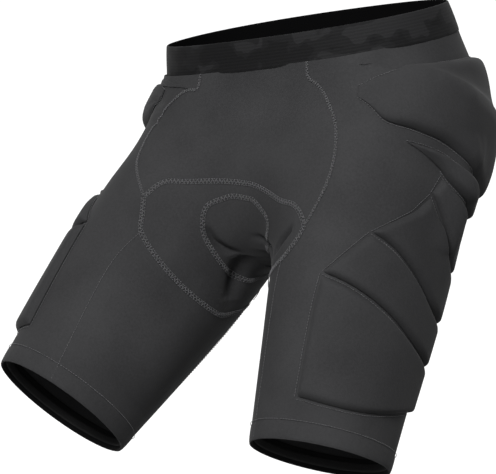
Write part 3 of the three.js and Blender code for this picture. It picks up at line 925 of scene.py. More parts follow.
def shell_piece(name: str, top: np.ndarray, bottom: np.ndarray, outward: np.ndarray, levels: int = 2,
                ring: bool = False) -> bpy.types.Object:
    """Makes a closed soft form between two matching grids of points.

    Args:
        name: Name of the piece.
        top: Outer points, by row and column.
        bottom: Inner points, by row and column.
        outward: Outward directions at the points.
        levels: Subdivision levels.
        ring: Whether the last column joins the first.

    Returns:
        The finished piece.
    """
    if not faces_out(top, outward):
        top, bottom = top[::-1], bottom[::-1]
    rows, columns = top.shape[:2]
    size = rows * columns
    upper = sheet_faces(rows, columns, ring)
    lower = [face[::-1] for face in sheet_faces(rows, columns, ring, size)]
    spans = columns if ring else columns - 1
    rim = []
    for j in range(spans):
        k = (j + 1) % columns
        rim.append([j, k, size + k, size + j])
        last = (rows - 1) * columns
        rim.append([last + k, last + j, size + last + j, size + last + k])
    if not ring:
        for i in range(rows - 1):
            a, b = i * columns, (i + 1) * columns
            rim.append([b, a, size + a, size + b])
            rim.append([a + spans, b + spans, size + b + spans, size + a + spans])
    points = np.concatenate([top.reshape(-1, 3), bottom.reshape(-1, 3)])
    piece = new_piece(name, points, upper + lower + rim)
    subdivide(piece, levels)
    return finish_stack(piece)


# ---- Joins between the seat and the legs ---------------------------------------------------------


@dataclass(frozen=True)
class HipFold:
    """Where the cloth turns from seat to leg: the stretch runs outwards and down across each hip."""

    out: float = 0.64
    down: float = 0.77
    start: float = 0.200
    end: float = 0.290

    def bend(self, piece: bpy.types.Object, leg: LegLine) -> None:
        """Bakes a piece's placement into its mesh."""
        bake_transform(piece)


# ---- Pattern of the garment ----------------------------------------------------------------------


@dataclass
class Pattern:
    """The sewn lines that the panels share, as places on the garment (millimetres, degrees).

    The arch is the outline of the gusset. It and the seat pad start and end on the centre plane, at angles
    where 0 is the front and 90 is down.
    """

    body: Body
    band_depth: float
    hem_depth: float = 0.019
    tuck: float = 3 * MM
    arch_top: float = 9.0
    arch_back: float = 124.0
    arch_bow: float = 12 * MM
    seat_pad_top: float = 15.0
    seat_pad_back: float = 104.0

    def __post_init__(self) -> None:
        """Draws the seams."""
        top = (self.band_depth - self.tuck) / MM
        hem = self.body.legs[0].hem_d / MM
        front = [(top, 9), (148, 10), (182, 12), (213, 10), (240, 3), (268, -9)]
        front_leg = [(300, -22), (346, -22), (400, -25), (hem, -32)]
        back = [(top, 168), (110, 173), (190, 184), (230, 198), (260, 213)]
        back_leg = [(272, 217), (330, 208), (hem, 203)]
        self.hem = hem
        self.leg_seam_top = front_leg[0]
        self.front_seam = seam(*front)
        self.leg_seam = seam(*front_leg)
        self.back_seam = seam(*back)
        self.back_leg_seam = seam(*back_leg)
        self.side_front = seam(*front, (284, -14), *front_leg)
        self.side_back = seam(*back, *back_leg)
        self.arch_round = seam((268, -9), (284, -14), (300, -22), (312, -41), (318, -61), (318, -84),
                               (309, -111), (291, -128), (276, -140), (267, -144))
        self.seat_pad_points = {
            "right": [(217, -58), (228, -54), (240, -50), (252, -52), (264, -59), (271, -73), (273, -88),
                      (266, -108), (240, -127), (200, -137)],
            "left": [(243, -43), (255, -40), (267, -44), (276, -56), (282, -73), (283, -90), (277, -109),
                     (258, -127), (232, -137)],
        }
        self.thigh_lines = [
            seam((204, 79), (211, 96), (215, 116), (217, 138)),
            seam((217, 75), (230, 89), (247, 102), (259, 118), (264, 138)),
            seam((265, 39), (274, 56), (290, 78), (310, 106), (318, 138)),
            seam((314, 14), (321, 32), (337, 63), (354, 96), (366, 134)),
            seam((436, 11), (439, 30), (439, 51), (435, 70), (420, 110), (414, 126)),
        ]
        self.hip_edges = [
            (seam((140, 27), (132, 37), (120, 53), (98, 75), (73, 107), (62, 132)),
             seam((156, 25), (168, 31), (180, 38), (184, 55), (186, 76), (193, 106), (197, 134))),
            (seam((190, 50), (190, 76), (197, 106), (201, 134)),
             seam((202, 76), (207, 84), (211, 96), (211, 118), (211, 136))),
        ]
        self.tailbone_edges = (seam((84, 184), (115, 183), (142, 188)),
                               seam((72, 200), (110, 202), (152, 206)))

    def band_edge_angle(self, is_back: bool) -> float:
        """Returns the angle on the centre plane at which a panel starts, tucked under the waistband."""
        return self.body.centre_angle(-self.band_depth + self.tuck, is_back)

    def centre_place(self, leg: LegLine, degrees: float) -> tuple[float, float]:
        """Returns the place, in millimetres and degrees, of a point of the centre plane."""
        d, angle = self.body.coordinates(leg, self.body.centre_point(np.array([degrees]))[0], -180)
        return d / MM, angle

    def shoulder_rise(self, u: np.ndarray) -> np.ndarray:
        """Returns how far the top of the gusset bows up between the centre and its shoulder."""
        return -self.arch_bow * np.sin(np.pi * u ** 3.6)

    def arch_over(self, leg: LegLine) -> Curve:
        """Returns the seam along the top of the gusset, from the centre plane out to its shoulder.

        Args:
            leg: The side.

        Returns:
            The seam.
        """
        d0, angle0 = self.centre_place(leg, self.arch_top)
        d1, angle1 = (float(value) for value in self.arch_round(np.array(0.0)))

        def read(u: np.ndarray) -> tuple[np.ndarray, np.ndarray]:
            """Reads the seam at shares of the way out."""
            return d0 * MM + (d1 - d0 * MM) * u + self.shoulder_rise(u), angle0 + (angle1 - angle0) * u

        return read

    def seat_pad_edge(self, leg: LegLine) -> Curve:
        """Returns the line that holds the seat pad, from the centre plane in front round to the back."""
        start, end = self.centre_place(leg, self.seat_pad_top), self.centre_place(leg, self.seat_pad_back)
        return seam(start, *self.seat_pad_points[leg.name], end)

    def side_grid(self, leg: LegLine, rows: int, columns: int, front: Curve, back: Curve) -> np.ndarray:
        """Returns points of a patch between a front and a back seam.

        Args:
            leg: The side.
            rows: Faces down the patch.
            columns: Faces across it.
            front: The seam at its front.
            back: The seam at its back.

        Returns:
            Its points.
        """
        v = np.linspace(0, 1, rows + 1)[:, None]
        u = np.linspace(0, 1, columns + 1)[None, :]
        d0, a0 = front(v)
        d1, a1 = back(v)
        return self.body.place(leg, d0 + (d1 - d0) * u, a0 + (a1 - a0) * u)

    def half_grid(self, leg: LegLine, rows: int, columns: int, angles: tuple[float, float], edge: Curve,
                  start: float = -180, bow: Callable[[np.ndarray], np.ndarray] | None = None) -> np.ndarray:
        """Lays a patch from the centre plane out to a seam of one side.

        Args:
            leg: The side.
            rows: Faces down the patch.
            columns: Faces across it.
            angles: Where it starts and ends on the centre plane.
            edge: The seam at its outer side.
            start: Smallest angle of the places.
            bow: Share of the top of the gusset's bow at shares of the way down the patch, or None for no bow.

        Returns:
            Its points.
        """
        v = np.linspace(0, 1, rows + 1)
        middle = self.body.centre_point(angles[0] + (angles[1] - angles[0]) * v)
        places = np.array([self.body.coordinates(leg, p, start) for p in middle])
        edge_d, edge_angle = edge(v)
        u = np.linspace(0, 1, columns + 1)[None, 1:]
        d = places[:, :1] + (edge_d[:, None] - places[:, :1]) * u
        if bow is not None:
            d = d + bow(v)[:, None] * self.shoulder_rise(u)
        angle = places[:, 1:] + (edge_angle[:, None] - places[:, 1:]) * u
        return np.concatenate([middle[:, None, :], self.body.place(leg, d, angle)], axis=1)

    def band_grid(self, leg: LegLine, rows: int, columns: int, upper: Curve, lower: Curve,
                  inset: float = 0.0) -> np.ndarray:
        """Returns points of a patch between an upper and a lower line, each held back by inset.

        Args:
            leg: The side.
            rows: Faces down the patch.
            columns: Faces across it.
            upper: The line above it.
            lower: The line below it.
            inset: How far it stays from both lines.

        Returns:
            Its points.
        """
        u = np.linspace(0, 1, columns + 1)[None, :]
        v = np.linspace(0, 1, rows + 1)[:, None]
        d0, a0 = upper(u)
        d1, a1 = lower(u)
        d0, d1 = d0 + inset, d1 - inset
        return self.body.place(leg, d0 + (d1 - d0) * v, a0 + (a1 - a0) * v)

    def ring_grid(self, leg: LegLine, start: float, end: float, rows: int, columns: int) -> np.ndarray:
        """Returns points of a ring round a leg between two garment distances.

        Args:
            leg: The leg.
            start: Garment distance of its upper edge.
            end: Garment distance of its lower edge.
            rows: Faces down the ring.
            columns: Faces round it.

        Returns:
            Its points.
        """
        d = np.linspace(start, end, rows + 1)[:, None]
        angle = (np.arange(columns) * 360 / columns)[None, :]
        return self.body.place(leg, d + 0 * angle, angle + 0 * d)


@dataclass
class Tailor:
    """What every sub-assembly needs: the form, the pattern, the finishes and the fold at the hip."""

    body: Body
    pattern: Pattern
    wardrobe: Wardrobe
    hip_fold: HipFold = field(default_factory=HipFold)

    def sheet(self, name: str, grid: np.ndarray, height: float, thickness: float, slot: Slot, finish: str,
              reverse: str, nodes: Sequence[str], leg: LegLine) -> bpy.types.Object:
        """Args:
            name: Name of the piece.
            grid: Points of the form.
            height: Height of its outer face above the form.
            thickness: Thickness of the cloth.
            slot: Record slot.
            finish: Finish of the outer face.
            reverse: Finish of the inner face.
            nodes: CAD nodes that the sheet stands for.
            leg: The leg whose hip fold it crosses.

        Returns:
            The piece.
        """
        outward = self.body.normal(grid)
        piece = cloth_piece(name, self.body.raised(grid, height), outward, thickness)
        self.wardrobe.dress(piece, slot, finish, reverse)
        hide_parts(*nodes)
        self.hip_fold.bend(piece, leg)
        return piece


# ---- Stitching -----------------------------------------------------------------------------------


@dataclass
class StitchRun:
    """Rows of stitches along curves of the garment, made as short spindles of thread.

    The section lists, down a spindle: the share of its length, its share of the full thickness, and how far
    it stands off the cloth in thicknesses.
    """

    tailor: Tailor
    thread: float = 0.55 * MM
    sides: int = 4
    section: tuple[tuple[float, float, float], ...] = ((0.0, 0.55, 0.0), (0.25, 1.0, 0.55), (0.75, 1.0, 0.55),
                                                       (1.0, 0.55, 0.0))
    zigzag_pitch: float = 2.0 * MM
    cover_pitch: float = 2.8 * MM
    lock_pitch: float = 3.0 * MM

    def path(self, leg: LegLine, curve: Curve, spacing: float) -> tuple[np.ndarray, np.ndarray]:
        """Walks a curve in even steps.

        Args:
            leg: The leg, or the side, it belongs to.
            curve: The curve.
            spacing: Length of a step.

        Returns:
            The garment distances and angles of the steps.
        """
        u = np.linspace(0, 1, 240)
        d, angle = curve(u)
        line = self.tailor.body.place(leg, d, angle)
        length = np.concatenate([[0], np.cumsum(np.linalg.norm(np.diff(line, axis=0), axis=1))])
        steps = np.arange(0, length[-1], spacing)
        return np.interp(steps, length, d), np.interp(steps, length, angle)

    def rail(self, leg: LegLine, curve: Curve, spacing: float, shift: float) -> np.ndarray:
        """Returns points of the form along a curve, moved sideways by shift.

        Args:
            leg: The leg, or the side, it belongs to.
            curve: The curve.
            spacing: Distance between the points.
            shift: How far to one side they lie.

        Returns:
            The points.
        """
        line = self.tailor.body.place(leg, *self.path(leg, curve, spacing))
        way = unit(np.gradient(line, axis=0))
        return line + np.cross(way, self.tailor.body.normal(line)) * shift

    def spindles(self, start: np.ndarray, end: np.ndarray,
                 normal: np.ndarray) -> tuple[np.ndarray, list[list[int]]]:
        """Makes one spindle of thread for each pair of points.

        Args:
            start: Where each stitch goes in.
            end: Where it comes out.
            normal: Outward direction at each stitch.

        Returns:
            All their vertices and faces.
        """
        way = unit(end - start)
        across = unit(np.cross(way, normal))
        rings = []
        for share, swell, lift in self.section:
            centre = start + (end - start) * share + normal * self.thread * lift
            for k in range(self.sides):
                turn = 2 * math.pi * k / self.sides
                way_out = across * math.cos(turn) + normal * math.sin(turn)
                rings.append(centre + way_out * self.thread / 2 * swell)
        points = np.stack(rings, axis=1)
        size = len(self.section) * self.sides
        faces = sheet_faces(len(self.section), self.sides, True)
        faces.append(list(range(self.sides)))
        faces.append(list(range(size - 1, size - self.sides - 1, -1)))
        every = [[index + n * size for index in face[::-1]] for n in range(len(start)) for face in faces]
        return points.reshape(-1, 3), every

    def rows(self, leg: LegLine, curve: Curve, height: float, spacing: float, shift: float,
             share: float = 0.78) -> tuple[np.ndarray, np.ndarray, np.ndarray]:
        """Places plain stitches in a row.

        Args:
            leg: The leg, or the side, it belongs to.
            curve: The curve.
            height: Height above the form.
            spacing: Length of a stitch with its gap.
            shift: How far to one side of the curve the row lies.
            share: The share of the spacing that the thread covers.

        Returns:
            Start, end and outward direction of each stitch.
        """
        rail = self.rail(leg, curve, spacing, shift)
        body = self.tailor.body
        normal = body.normal(rail)
        lifted = body.raised(rail, height)
        return lifted[:-1], lifted[:-1] + (lifted[1:] - lifted[:-1]) * share, normal[:-1]

    def zigzag(self, leg: LegLine, curve: Curve, height: float, spacing: float,
               width: float) -> tuple[np.ndarray, np.ndarray, np.ndarray]:
        """Places stitches that cross a seam from side to side.

        Args:
            leg: The leg, or the side, it belongs to.
            curve: The curve.
            height: Height above the form.
            spacing: Length that one stitch takes along the curve.
            width: Width of the zigzag.

        Returns:
            Start, end and outward direction of each stitch.
        """
        body = self.tailor.body
        one, other = (self.rail(leg, curve, spacing, shift) for shift in (-width / 2, width / 2))
        count = min(len(one), len(other))
        line = np.where((np.arange(count) % 2 == 0)[:, None], one[:count], other[:count])
        normal = body.normal(line)
        lifted = body.raised(line, height)
        return lifted[:-1], lifted[1:], normal[:-1]

    def sew(self, name: str, runs: Sequence[tuple[np.ndarray, np.ndarray, np.ndarray]], finish: str,
            nodes: Sequence[str], leg: LegLine) -> bpy.types.Object:
        """Makes one piece of all the stitches of a seam.

        Args:
            name: Name of the piece.
            runs: Start, end and outward direction of the stitches of each row.
            finish: Finish of the thread.
            nodes: CAD nodes that the stitches stand for.
            leg: The leg, or the side, it belongs to.

        Returns:
            The piece.
        """
        start, end, normal = (np.concatenate(part) for part in zip(*runs))
        vertices, faces = self.spindles(start, end, normal)
        piece = new_piece(name, vertices, faces)
        self.tailor.wardrobe.dress(piece, Slot.THREAD, finish)
        if nodes:
            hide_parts(*nodes)
        self.tailor.hip_fold.bend(piece, leg)
        return piece

    def flatlock(self, name: str, leg: LegLine, curves: Sequence[Curve], nodes: Sequence[str],
                 finish: str = "pale_thread", width: float = 4.6 * MM,
                 height: float = 0.7 * MM) -> bpy.types.Object:
        """Sews a flat-locked seam: three rows with close zigzag threads over them.

        Args:
            name: Name of the piece.
            leg: The leg, or the side, it belongs to.
            curves: The seams.
            nodes: CAD nodes that the stitches stand for.
            finish: Finish of the thread.
            width: Width of the stitching.
            height: Height above the form.

        Returns:
            The piece.
        """
        runs = []
        for curve in curves:
            runs.append(self.zigzag(leg, curve, height, self.zigzag_pitch, width))
            for shift in (-width / 2, 0.0, width / 2):
                runs.append(self.rows(leg, curve, height, self.cover_pitch, shift, 0.6))
        return self.sew(name, runs, finish, nodes, leg)

    def lockstitch(self, name: str, leg: LegLine, curves: Sequence[Curve], height: float,
                   finish: str = "dark_thread", nodes: Sequence[str] = ()) -> bpy.types.Object:
        """Sews single rows of plain stitches."""
        runs = [self.rows(leg, curve, height, self.lock_pitch, 0.0) for curve in curves]
        return self.sew(name, runs, finish, nodes, leg)


# ---- Sub-assemblies ------------------------------------------------------------------------------


@dataclass
class Waistband:
    """Woven elastic band: rounded out between its edges, and puckered along the lower one by its stitches."""

    tailor: Tailor
    columns: int = 96
    rows: int = 8
    rim: float = 0.6 * MM
    proud: float = 0.8 * MM
    roundness: float = 0.5 * MM
    inset: float = 1.6 * MM
    pucker: float = 0.25 * MM
    puckers: int = 38
    ovalness: float = 1.45

    def grid(self, top: float, bottom: float, rows: int) -> np.ndarray:
        """Returns points of the waist form between two heights.

        Args:
            top: Height of the first row.
            bottom: Height of the last row.
            rows: Faces between them.

        Returns:
            The points.
        """
        seat = self.tailor.body.seat
        turn = 2 * np.pi * np.arange(self.columns) / self.columns
        power = 2 / seat.squareness
        z = np.linspace(top, bottom, rows + 1)[:, None] + 0 * turn
        half_width, front, back = seat.ring(z)
        x = half_width * np.sign(np.cos(turn)) * np.abs(np.cos(turn)) ** power
        y = (back - front) / 2 * np.sign(np.sin(turn)) * np.abs(np.sin(turn)) ** power + (front + back) / 2
        return np.stack([x, y, z], axis=-1)

    def build(self) -> list[bpy.types.Object]:
        """Makes the band.

        Returns:
            The band.
        """
        depth = self.tailor.pattern.band_depth
        grid = self.grid(-self.rim, -depth, self.rows)
        outward = unit(np.stack([grid[..., 0] / self.ovalness, grid[..., 1], 0 * grid[..., 2]], axis=-1))
        share = np.linspace(0, 1, self.rows + 1)[:, None]
        turn = 2 * np.pi * np.arange(self.columns) / self.columns
        pucker = self.pucker * np.sin(turn * self.puckers) * smooth_step((share - 0.55) / 0.4)
        lift = self.proud + self.roundness * np.sin(np.pi * share) + pucker
        outer = grid + outward * lift[..., None]
        inner = grid - outward * self.inset
        band = shell_piece("waistband_elastic", outer, inner, outward, 2, ring=True)
        self.tailor.wardrobe.dress(band, Slot.WAIST, "elastic", "elastic_reverse")
        self.paint_inside(band)
        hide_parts("waistband")
        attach(band, "seat")
        return [band]

    def paint_inside(self, band: bpy.types.Object) -> None:
        """Gives the faces that look inwards the reverse finish, darkened by painted shade.

        Args:
            band: The band.
        """
        for polygon in band.data.polygons:
            centre, normal = polygon.center, polygon.normal
            if centre.x * normal.x + centre.y * normal.y < 0:
                polygon.material_index = 1


@dataclass
class BodyPanels:
    """The stretch panels: two halves of front, seat and gusset, and the side and inner panel of each leg."""

    tailor: Tailor
    thickness: float = 1.3 * MM

    def build(self) -> list[bpy.types.Object]:
        """Makes every panel.

        Returns:
            The pieces.
        """
        made = []
        for leg in self.tailor.body.legs:
            made += [self.front(leg), self.seat(leg), self.gusset(leg), self.side(leg), self.inner(leg)]
        return made

    def panel(self, name: str, grid: np.ndarray, leg: LegLine, nodes: Sequence[str]) -> bpy.types.Object:
        """Makes one panel of outer cloth."""
        # The inner face gets the near-black inside finish, which is painted shade.
        return self.tailor.sheet(name, grid, 0.0, self.thickness, Slot.FABRIC, "knit", "inside", nodes, leg)

    def front(self, leg: LegLine) -> bpy.types.Object:
        """Makes one half of the front panel.

        Args:
            leg: The side.

        Returns:
            The piece.
        """
        pattern = self.tailor.pattern
        angles = (pattern.band_edge_angle(False), pattern.arch_top)
        grid = pattern.half_grid(leg, 44, 20, angles, pattern.front_seam, bow=lambda v: v ** 4)
        return self.panel(f"front_panel_{leg.name}_half", grid, leg, ["front_panel"])

    def seat(self, leg: LegLine) -> bpy.types.Object:
        """Makes one half of the seat panel.

        Args:
            leg: The side.

        Returns:
            The piece.
        """
        pattern = self.tailor.pattern
        angles = (pattern.arch_back, pattern.band_edge_angle(True))
        grid = pattern.half_grid(leg, 50, 20, angles, lambda u: pattern.back_seam(1 - u), 0)
        return self.panel(f"seat_panel_{leg.name}_half", grid, leg, ["seat_panel"])

    def gusset(self, leg: LegLine) -> bpy.types.Object:
        """Makes one half of the crotch gusset.

        Args:
            leg: The side.

        Returns:
            The piece.
        """
        pattern = self.tailor.pattern
        angles = (pattern.arch_top, pattern.arch_back)
        grid = pattern.half_grid(leg, 150, 60, angles, pattern.arch_round, bow=lambda v: (1 - v) ** 6)
        return self.panel(f"crotch_gusset_{leg.name}_half", grid, leg, ["crotch_gusset"])

    def side(self, leg: LegLine) -> bpy.types.Object:
        """Makes the panel over hip and outer thigh.

        Args:
            leg: The side.

        Returns:
            The piece.
        """
        pattern = self.tailor.pattern
        grid = pattern.side_grid(leg, 100, 60, pattern.side_front, pattern.side_back)
        parts = ("hip_panel", "groin_stretch_panel", "glute_stretch_panel", "thigh_panel")
        return self.panel(f"{leg.name}_side_panel", grid, leg, [f"{leg.name}_{part}" for part in parts])

    def inner(self, leg: LegLine) -> bpy.types.Object:
        """Makes the inner leg panel, from the arch of the gusset down to the hem.

        Args:
            leg: The leg.

        Returns:
            The piece.
        """
        pattern = self.tailor.pattern
        rows, columns = 44, 40
        v = np.linspace(0, 1, rows + 1)[:, None]
        u = np.linspace(0, 1, columns + 1)[None, :]
        _, front_angle = pattern.leg_seam(v)
        _, back_angle = pattern.back_leg_seam(v)
        angle = front_angle + (back_angle - 360 - front_angle) * u
        arch_d, arch_angle = pattern.arch_round(np.linspace(0.2, 1, 300))
        order = np.argsort(arch_angle)
        top_d, top_angle = pattern.leg_seam_top
        top = np.where(angle > top_angle, top_d * MM, np.interp(angle, arch_angle[order], arch_d[order]))
        grid = self.tailor.body.place(leg, top + (pattern.hem * MM - top) * v, angle)
        return self.panel(f"{leg.name}_inner_panel", grid, leg, [f"{leg.name}_inner_leg_panel"])


@dataclass
class Hems:
    """Folded hem of each leg with its silicone tape.

    The profile lists, round the fold: how far above the edge of the leg and how high off the form, in
    millimetres, and the share of the ripple that the stitches give the cloth.
    """

    tailor: Tailor
    columns: int = 120
    profile: tuple[tuple[float, float, float], ...] = (
        (19, 0.1, 0.6), (16, 0.7, 1.0), (8, 0.8, 0.6), (1.5, 0.6, 0.2), (-0.3, -0.4, 0), (-0.3, -1.8, 0),
        (1.5, -2.8, 0), (10, -3.0, 0), (19, -2.9, 0), (19, -1.9, 0), (12, -1.6, 0))
    ripple: float = 0.25 * MM
    ripples: int = 46
    tape_reach: tuple[float, float] = (13 * MM, 4 * MM)
    tape_faces: tuple[float, float] = (3.4 * MM, 4.6 * MM)
    tape_columns: int = 96

    def build(self) -> list[bpy.types.Object]:
        """Makes both hems.

        Returns:
            The pieces.
        """
        made = []
        for leg in self.tailor.body.legs:
            made += [self.fold(leg), self.tape(leg)]
        return made

    def fold(self, leg: LegLine) -> bpy.types.Object:
        """Makes the hem: cloth turned in and up at the edge, standing a little proud of the leg.

        Args:
            leg: The leg.

        Returns:
            The piece.
        """
        pattern = self.tailor.pattern
        body = self.tailor.body
        columns = self.columns
        above, height, share = np.array(self.profile).T
        ripple = self.ripple * np.sin(np.arange(columns) * 2 * np.pi * self.ripples / columns)
        grid = np.stack([pattern.ring_grid(leg, d, d, 0, columns)[0] for d in leg.hem_d - above * MM])
        outward = body.normal(grid)
        lift = height[:, None] * MM + ripple * share[:, None]
        points = grid + outward * lift[..., None]
        faces = sheet_faces(len(self.profile), columns, True)
        last = (len(self.profile) - 1) * columns
        faces += [[last + j, j, (j + 1) % columns, last + (j + 1) % columns] for j in range(columns)]
        if not faces_out(points[:3], outward[:3]):
            faces = [face[::-1] for face in faces]
        piece = new_piece(f"{leg.name}_hem", points, faces)
        subdivide(piece)
        finish_stack(piece)
        self.tailor.wardrobe.dress(piece, Slot.FABRIC, "knit", "inside")
        count = len(piece.data.polygons)
        middles, normals = np.empty(3 * count), np.empty(3 * count)
        piece.data.polygons.foreach_get("center", middles)
        piece.data.polygons.foreach_get("normal", normals)
        # Faces that look inwards get the near-black inside finish: painted shade of the inside of the leg.
        inwards = dot(normals.reshape(-1, 3), body.normal(middles.reshape(-1, 3))) < -0.3
        piece.data.polygons.foreach_set("material_index", inwards.astype(np.int32))
        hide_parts(f"{leg.name}_hem_band")
        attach(piece, f"{leg.name}_leg")
        return piece

    def tape(self, leg: LegLine) -> bpy.types.Object:
        """Makes the silicone tape inside the hem.

        Args:
            leg: The leg.

        Returns:
            The piece.
        """
        start, end = (leg.hem_d - above for above in self.tape_reach)
        grid = self.tailor.pattern.ring_grid(leg, start, end, 2, self.tape_columns)
        outward = self.tailor.body.normal(grid)
        top, bottom = (grid - outward * depth for depth in self.tape_faces)
        piece = shell_piece(f"{leg.name}_hem_tape", top, bottom, outward, 1, ring=True)
        self.tailor.wardrobe.dress(piece, Slot.SILICONE, "silicone")
        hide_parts(f"{leg.name}_hem_gripper")
        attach(piece, f"{leg.name}_leg")
        return piece


@dataclass(frozen=True)
class PadShape:
    """Section of a foam pad: its height in the middle and at its edge, and how far in its edges are rounded.

    The nose is how far in its front edge is rounded, where that differs from the others.
    """

    height: float
    edge: float = 1.8 * MM
    shoulder: float = 6 * MM
    crown: float = 0.4 * MM
    nose: float | None = None


@dataclass
class Pads:
    """Foam pads on hips, thighs and tailbone, each covered in the stretch cloth and sewn down at its edge."""

    tailor: Tailor
    thigh: PadShape = PadShape(7.5 * MM)
    hip_front: PadShape = PadShape(11.5 * MM, shoulder=14 * MM, nose=70 * MM)
    hip_lip: PadShape = PadShape(12 * MM, shoulder=12 * MM, nose=30 * MM)
    tailbone: PadShape = PadShape(5.5 * MM)
    channel: float = 1.5 * MM
    base: float = 0.15 * MM
    fullness: float = 0.85
    thigh_rows: tuple[int, ...] = (16, 16, 16, 28)
    thigh_columns: int = 40
    hip_rows: tuple[int, ...] = (28, 10)
    hip_columns: int = 48
    tailbone_cells: tuple[int, int] = (28, 12)

    def rise(self, grid: np.ndarray, shape: PadShape) -> np.ndarray:
        """Returns the height of a pad's face over a grid: rounded shoulders and a slight crown.

        Args:
            grid: Points of the form under the pad.
            shape: The pad's section.

        Returns:
            The height at each point.
        """
        rows = np.linalg.norm(np.diff(grid, axis=0), axis=-1)
        columns = np.linalg.norm(np.diff(grid, axis=1), axis=-1)
        down = np.vstack([np.zeros((1, grid.shape[1])), np.cumsum(rows, axis=0)])
        across = np.hstack([np.zeros((grid.shape[0], 1)), np.cumsum(columns, axis=1)])
        near_row = np.minimum(down, down[-1] - down)
        nose = shape.nose or shape.shoulder

        def shoulder(distance: np.ndarray, reach: float) -> np.ndarray:
            """Rises in a round shoulder from an edge."""
            t = np.clip(distance / reach, 0, 1)
            return np.sqrt(np.clip(1 - (1 - t) ** 2.4, 0, 1))

        body = (shoulder(near_row, shape.shoulder) * shoulder(across[:, -1:] - across, shape.shoulder)
                * (smooth_step(across / nose) if shape.nose else shoulder(across, nose)))
        crown = np.sin(np.pi * down / np.maximum(down[-1], 1e-6)) * np.sin(np.pi * across / across[:, -1:])
        return shape.edge + (shape.height - shape.edge) * body + shape.crown * crown

    def pad(self, name: str, grid: np.ndarray, shape: PadShape, leg: LegLine, node: str,
            follows_leg: bool = True) -> bpy.types.Object:
        """Makes one pad over a grid of the form.

        Args:
            name: Name of the piece.
            grid: Points of the form under it.
            shape: Its section.
            leg: The side it is on.
            node: CAD node that it stands for.
            follows_leg: Whether it crosses the fold at the hip.

        Returns:
            The piece.
        """
        body = self.tailor.body
        outward = body.normal(grid)
        top = body.raised(grid, self.rise(grid, shape))
        bottom = body.raised(grid, self.base)
        piece = shell_piece(name, top, bottom, outward, 1)
        self.tailor.wardrobe.dress(piece, Slot.PAD, "pad_knit")
        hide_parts(node)
        if follows_leg:
            self.tailor.hip_fold.bend(piece, leg)
        else:
            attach(piece, "seat")
        return piece

    def build(self) -> list[bpy.types.Object]:
        """Makes every pad.

        Returns:
            The pieces.
        """
        made = []
        pattern = self.tailor.pattern
        for leg in self.tailor.body.legs:
            thigh = zip(self.thigh_rows, pattern.thigh_lines, pattern.thigh_lines[1:])
            for number, (rows, upper, lower) in enumerate(thigh, 1):
                grid = pattern.band_grid(leg, rows, self.thigh_columns, upper, lower, self.channel)
                name = f"{leg.name}_thigh_pad_{number}"
                made.append(self.pad(name + "_cover", grid, self.thigh, leg, name))
            hip = zip(self.hip_rows, (self.hip_front, self.hip_lip), pattern.hip_edges)
            for number, (rows, shape, edges) in enumerate(hip, 1):
                grid = pattern.band_grid(leg, rows, self.hip_columns, *edges, self.channel)
                name = f"{leg.name}_hip_pad_{number}"
                made.append(self.pad(name + "_cover", grid, shape, leg, name))
            grid = pattern.side_grid(leg, *self.tailbone_cells, *pattern.tailbone_edges)
            name = f"{leg.name}_tailbone_pad"
            made.append(self.pad(name + "_cover", grid, self.tailbone, leg, name, follows_leg=False))
        return made


@dataclass(frozen=True)
class PadLayer:
    """One layer of the seat pad: its rows and last column of the gusset's cells, its depth and its finish."""

    name: str
    rows: tuple[int, int]
    last_column: int
    depth: float
    thickness: float
    slot: Slot
    finish: str


@dataclass
class Inside:
    """What faces the wearer: mesh pockets behind the pads, and the seat pad.

    The pockets are cut from the side panel's cells, as first and last row and first and last column.
    """

    tailor: Tailor
    side_cells: tuple[int, int] = (72, 45)
    pockets: tuple[tuple[str, tuple[int, int], tuple[int, int]], ...] = (("hip", (6, 30), (6, 36)),
                                                                         ("thigh", (31, 66), (9, 36)))
    pocket_depth: float = 2.6 * MM
    mesh_thickness: float = 0.8 * MM
    gusset_cells: tuple[int, int] = (70, 25)
    layers: tuple[PadLayer, ...] = (
        PadLayer("seat_pad_foam", (15, 55), 15, 2.6 * MM, 6 * MM, Slot.FOAM, "foam"),
        PadLayer("seat_pad_cover", (5, 65), 20, 9.2 * MM, 1.2 * MM, Slot.CHAMOIS, "chamois"))
    seat_pad_fullness: float = 0.7

    def build(self) -> list[bpy.types.Object]:
        """Makes the linings and the seat pad.

        Returns:
            The pieces.
        """
        made = []
        pattern = self.tailor.pattern
        for leg in self.tailor.body.legs:
            full = pattern.side_grid(leg, *self.side_cells, pattern.side_front, pattern.side_back)
            for part, rows, columns in self.pockets:
                grid = full[rows[0]:rows[1] + 1, columns[0]:columns[1] + 1]
                name = f"{leg.name}_{part}_lining"
                made.append(self.tailor.sheet(name + "_mesh", grid, -self.pocket_depth, self.mesh_thickness,
                                              Slot.MESH, "mesh", "mesh", [name], leg))
            made += self.seat_pad(leg)
        return made

    def seat_pad(self, leg: LegLine) -> list[bpy.types.Object]:
        """Makes one half of the seat pad: a foam and the brushed cover over it.

        Args:
            leg: The side.

        Returns:
            Its layers.
        """
        pattern = self.tailor.pattern
        body = self.tailor.body
        angles = (pattern.arch_top + 1, pattern.arch_back)
        full = pattern.half_grid(leg, *self.gusset_cells, angles, pattern.arch_round)
        made = []
        for layer in self.layers:
            grid = full[layer.rows[0]:layer.rows[1] + 1, :layer.last_column + 1]
            top = body.raised(grid, -layer.depth)
            bottom = body.raised(grid, -layer.depth - layer.thickness)
            piece = shell_piece(f"{layer.name}_{leg.name}_half", top, bottom, body.normal(grid), 1)
            self.tailor.wardrobe.dress(piece, layer.slot, layer.finish)
            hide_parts(layer.name)
            self.tailor.hip_fold.bend(piece, leg)
            made.append(piece)
        return made


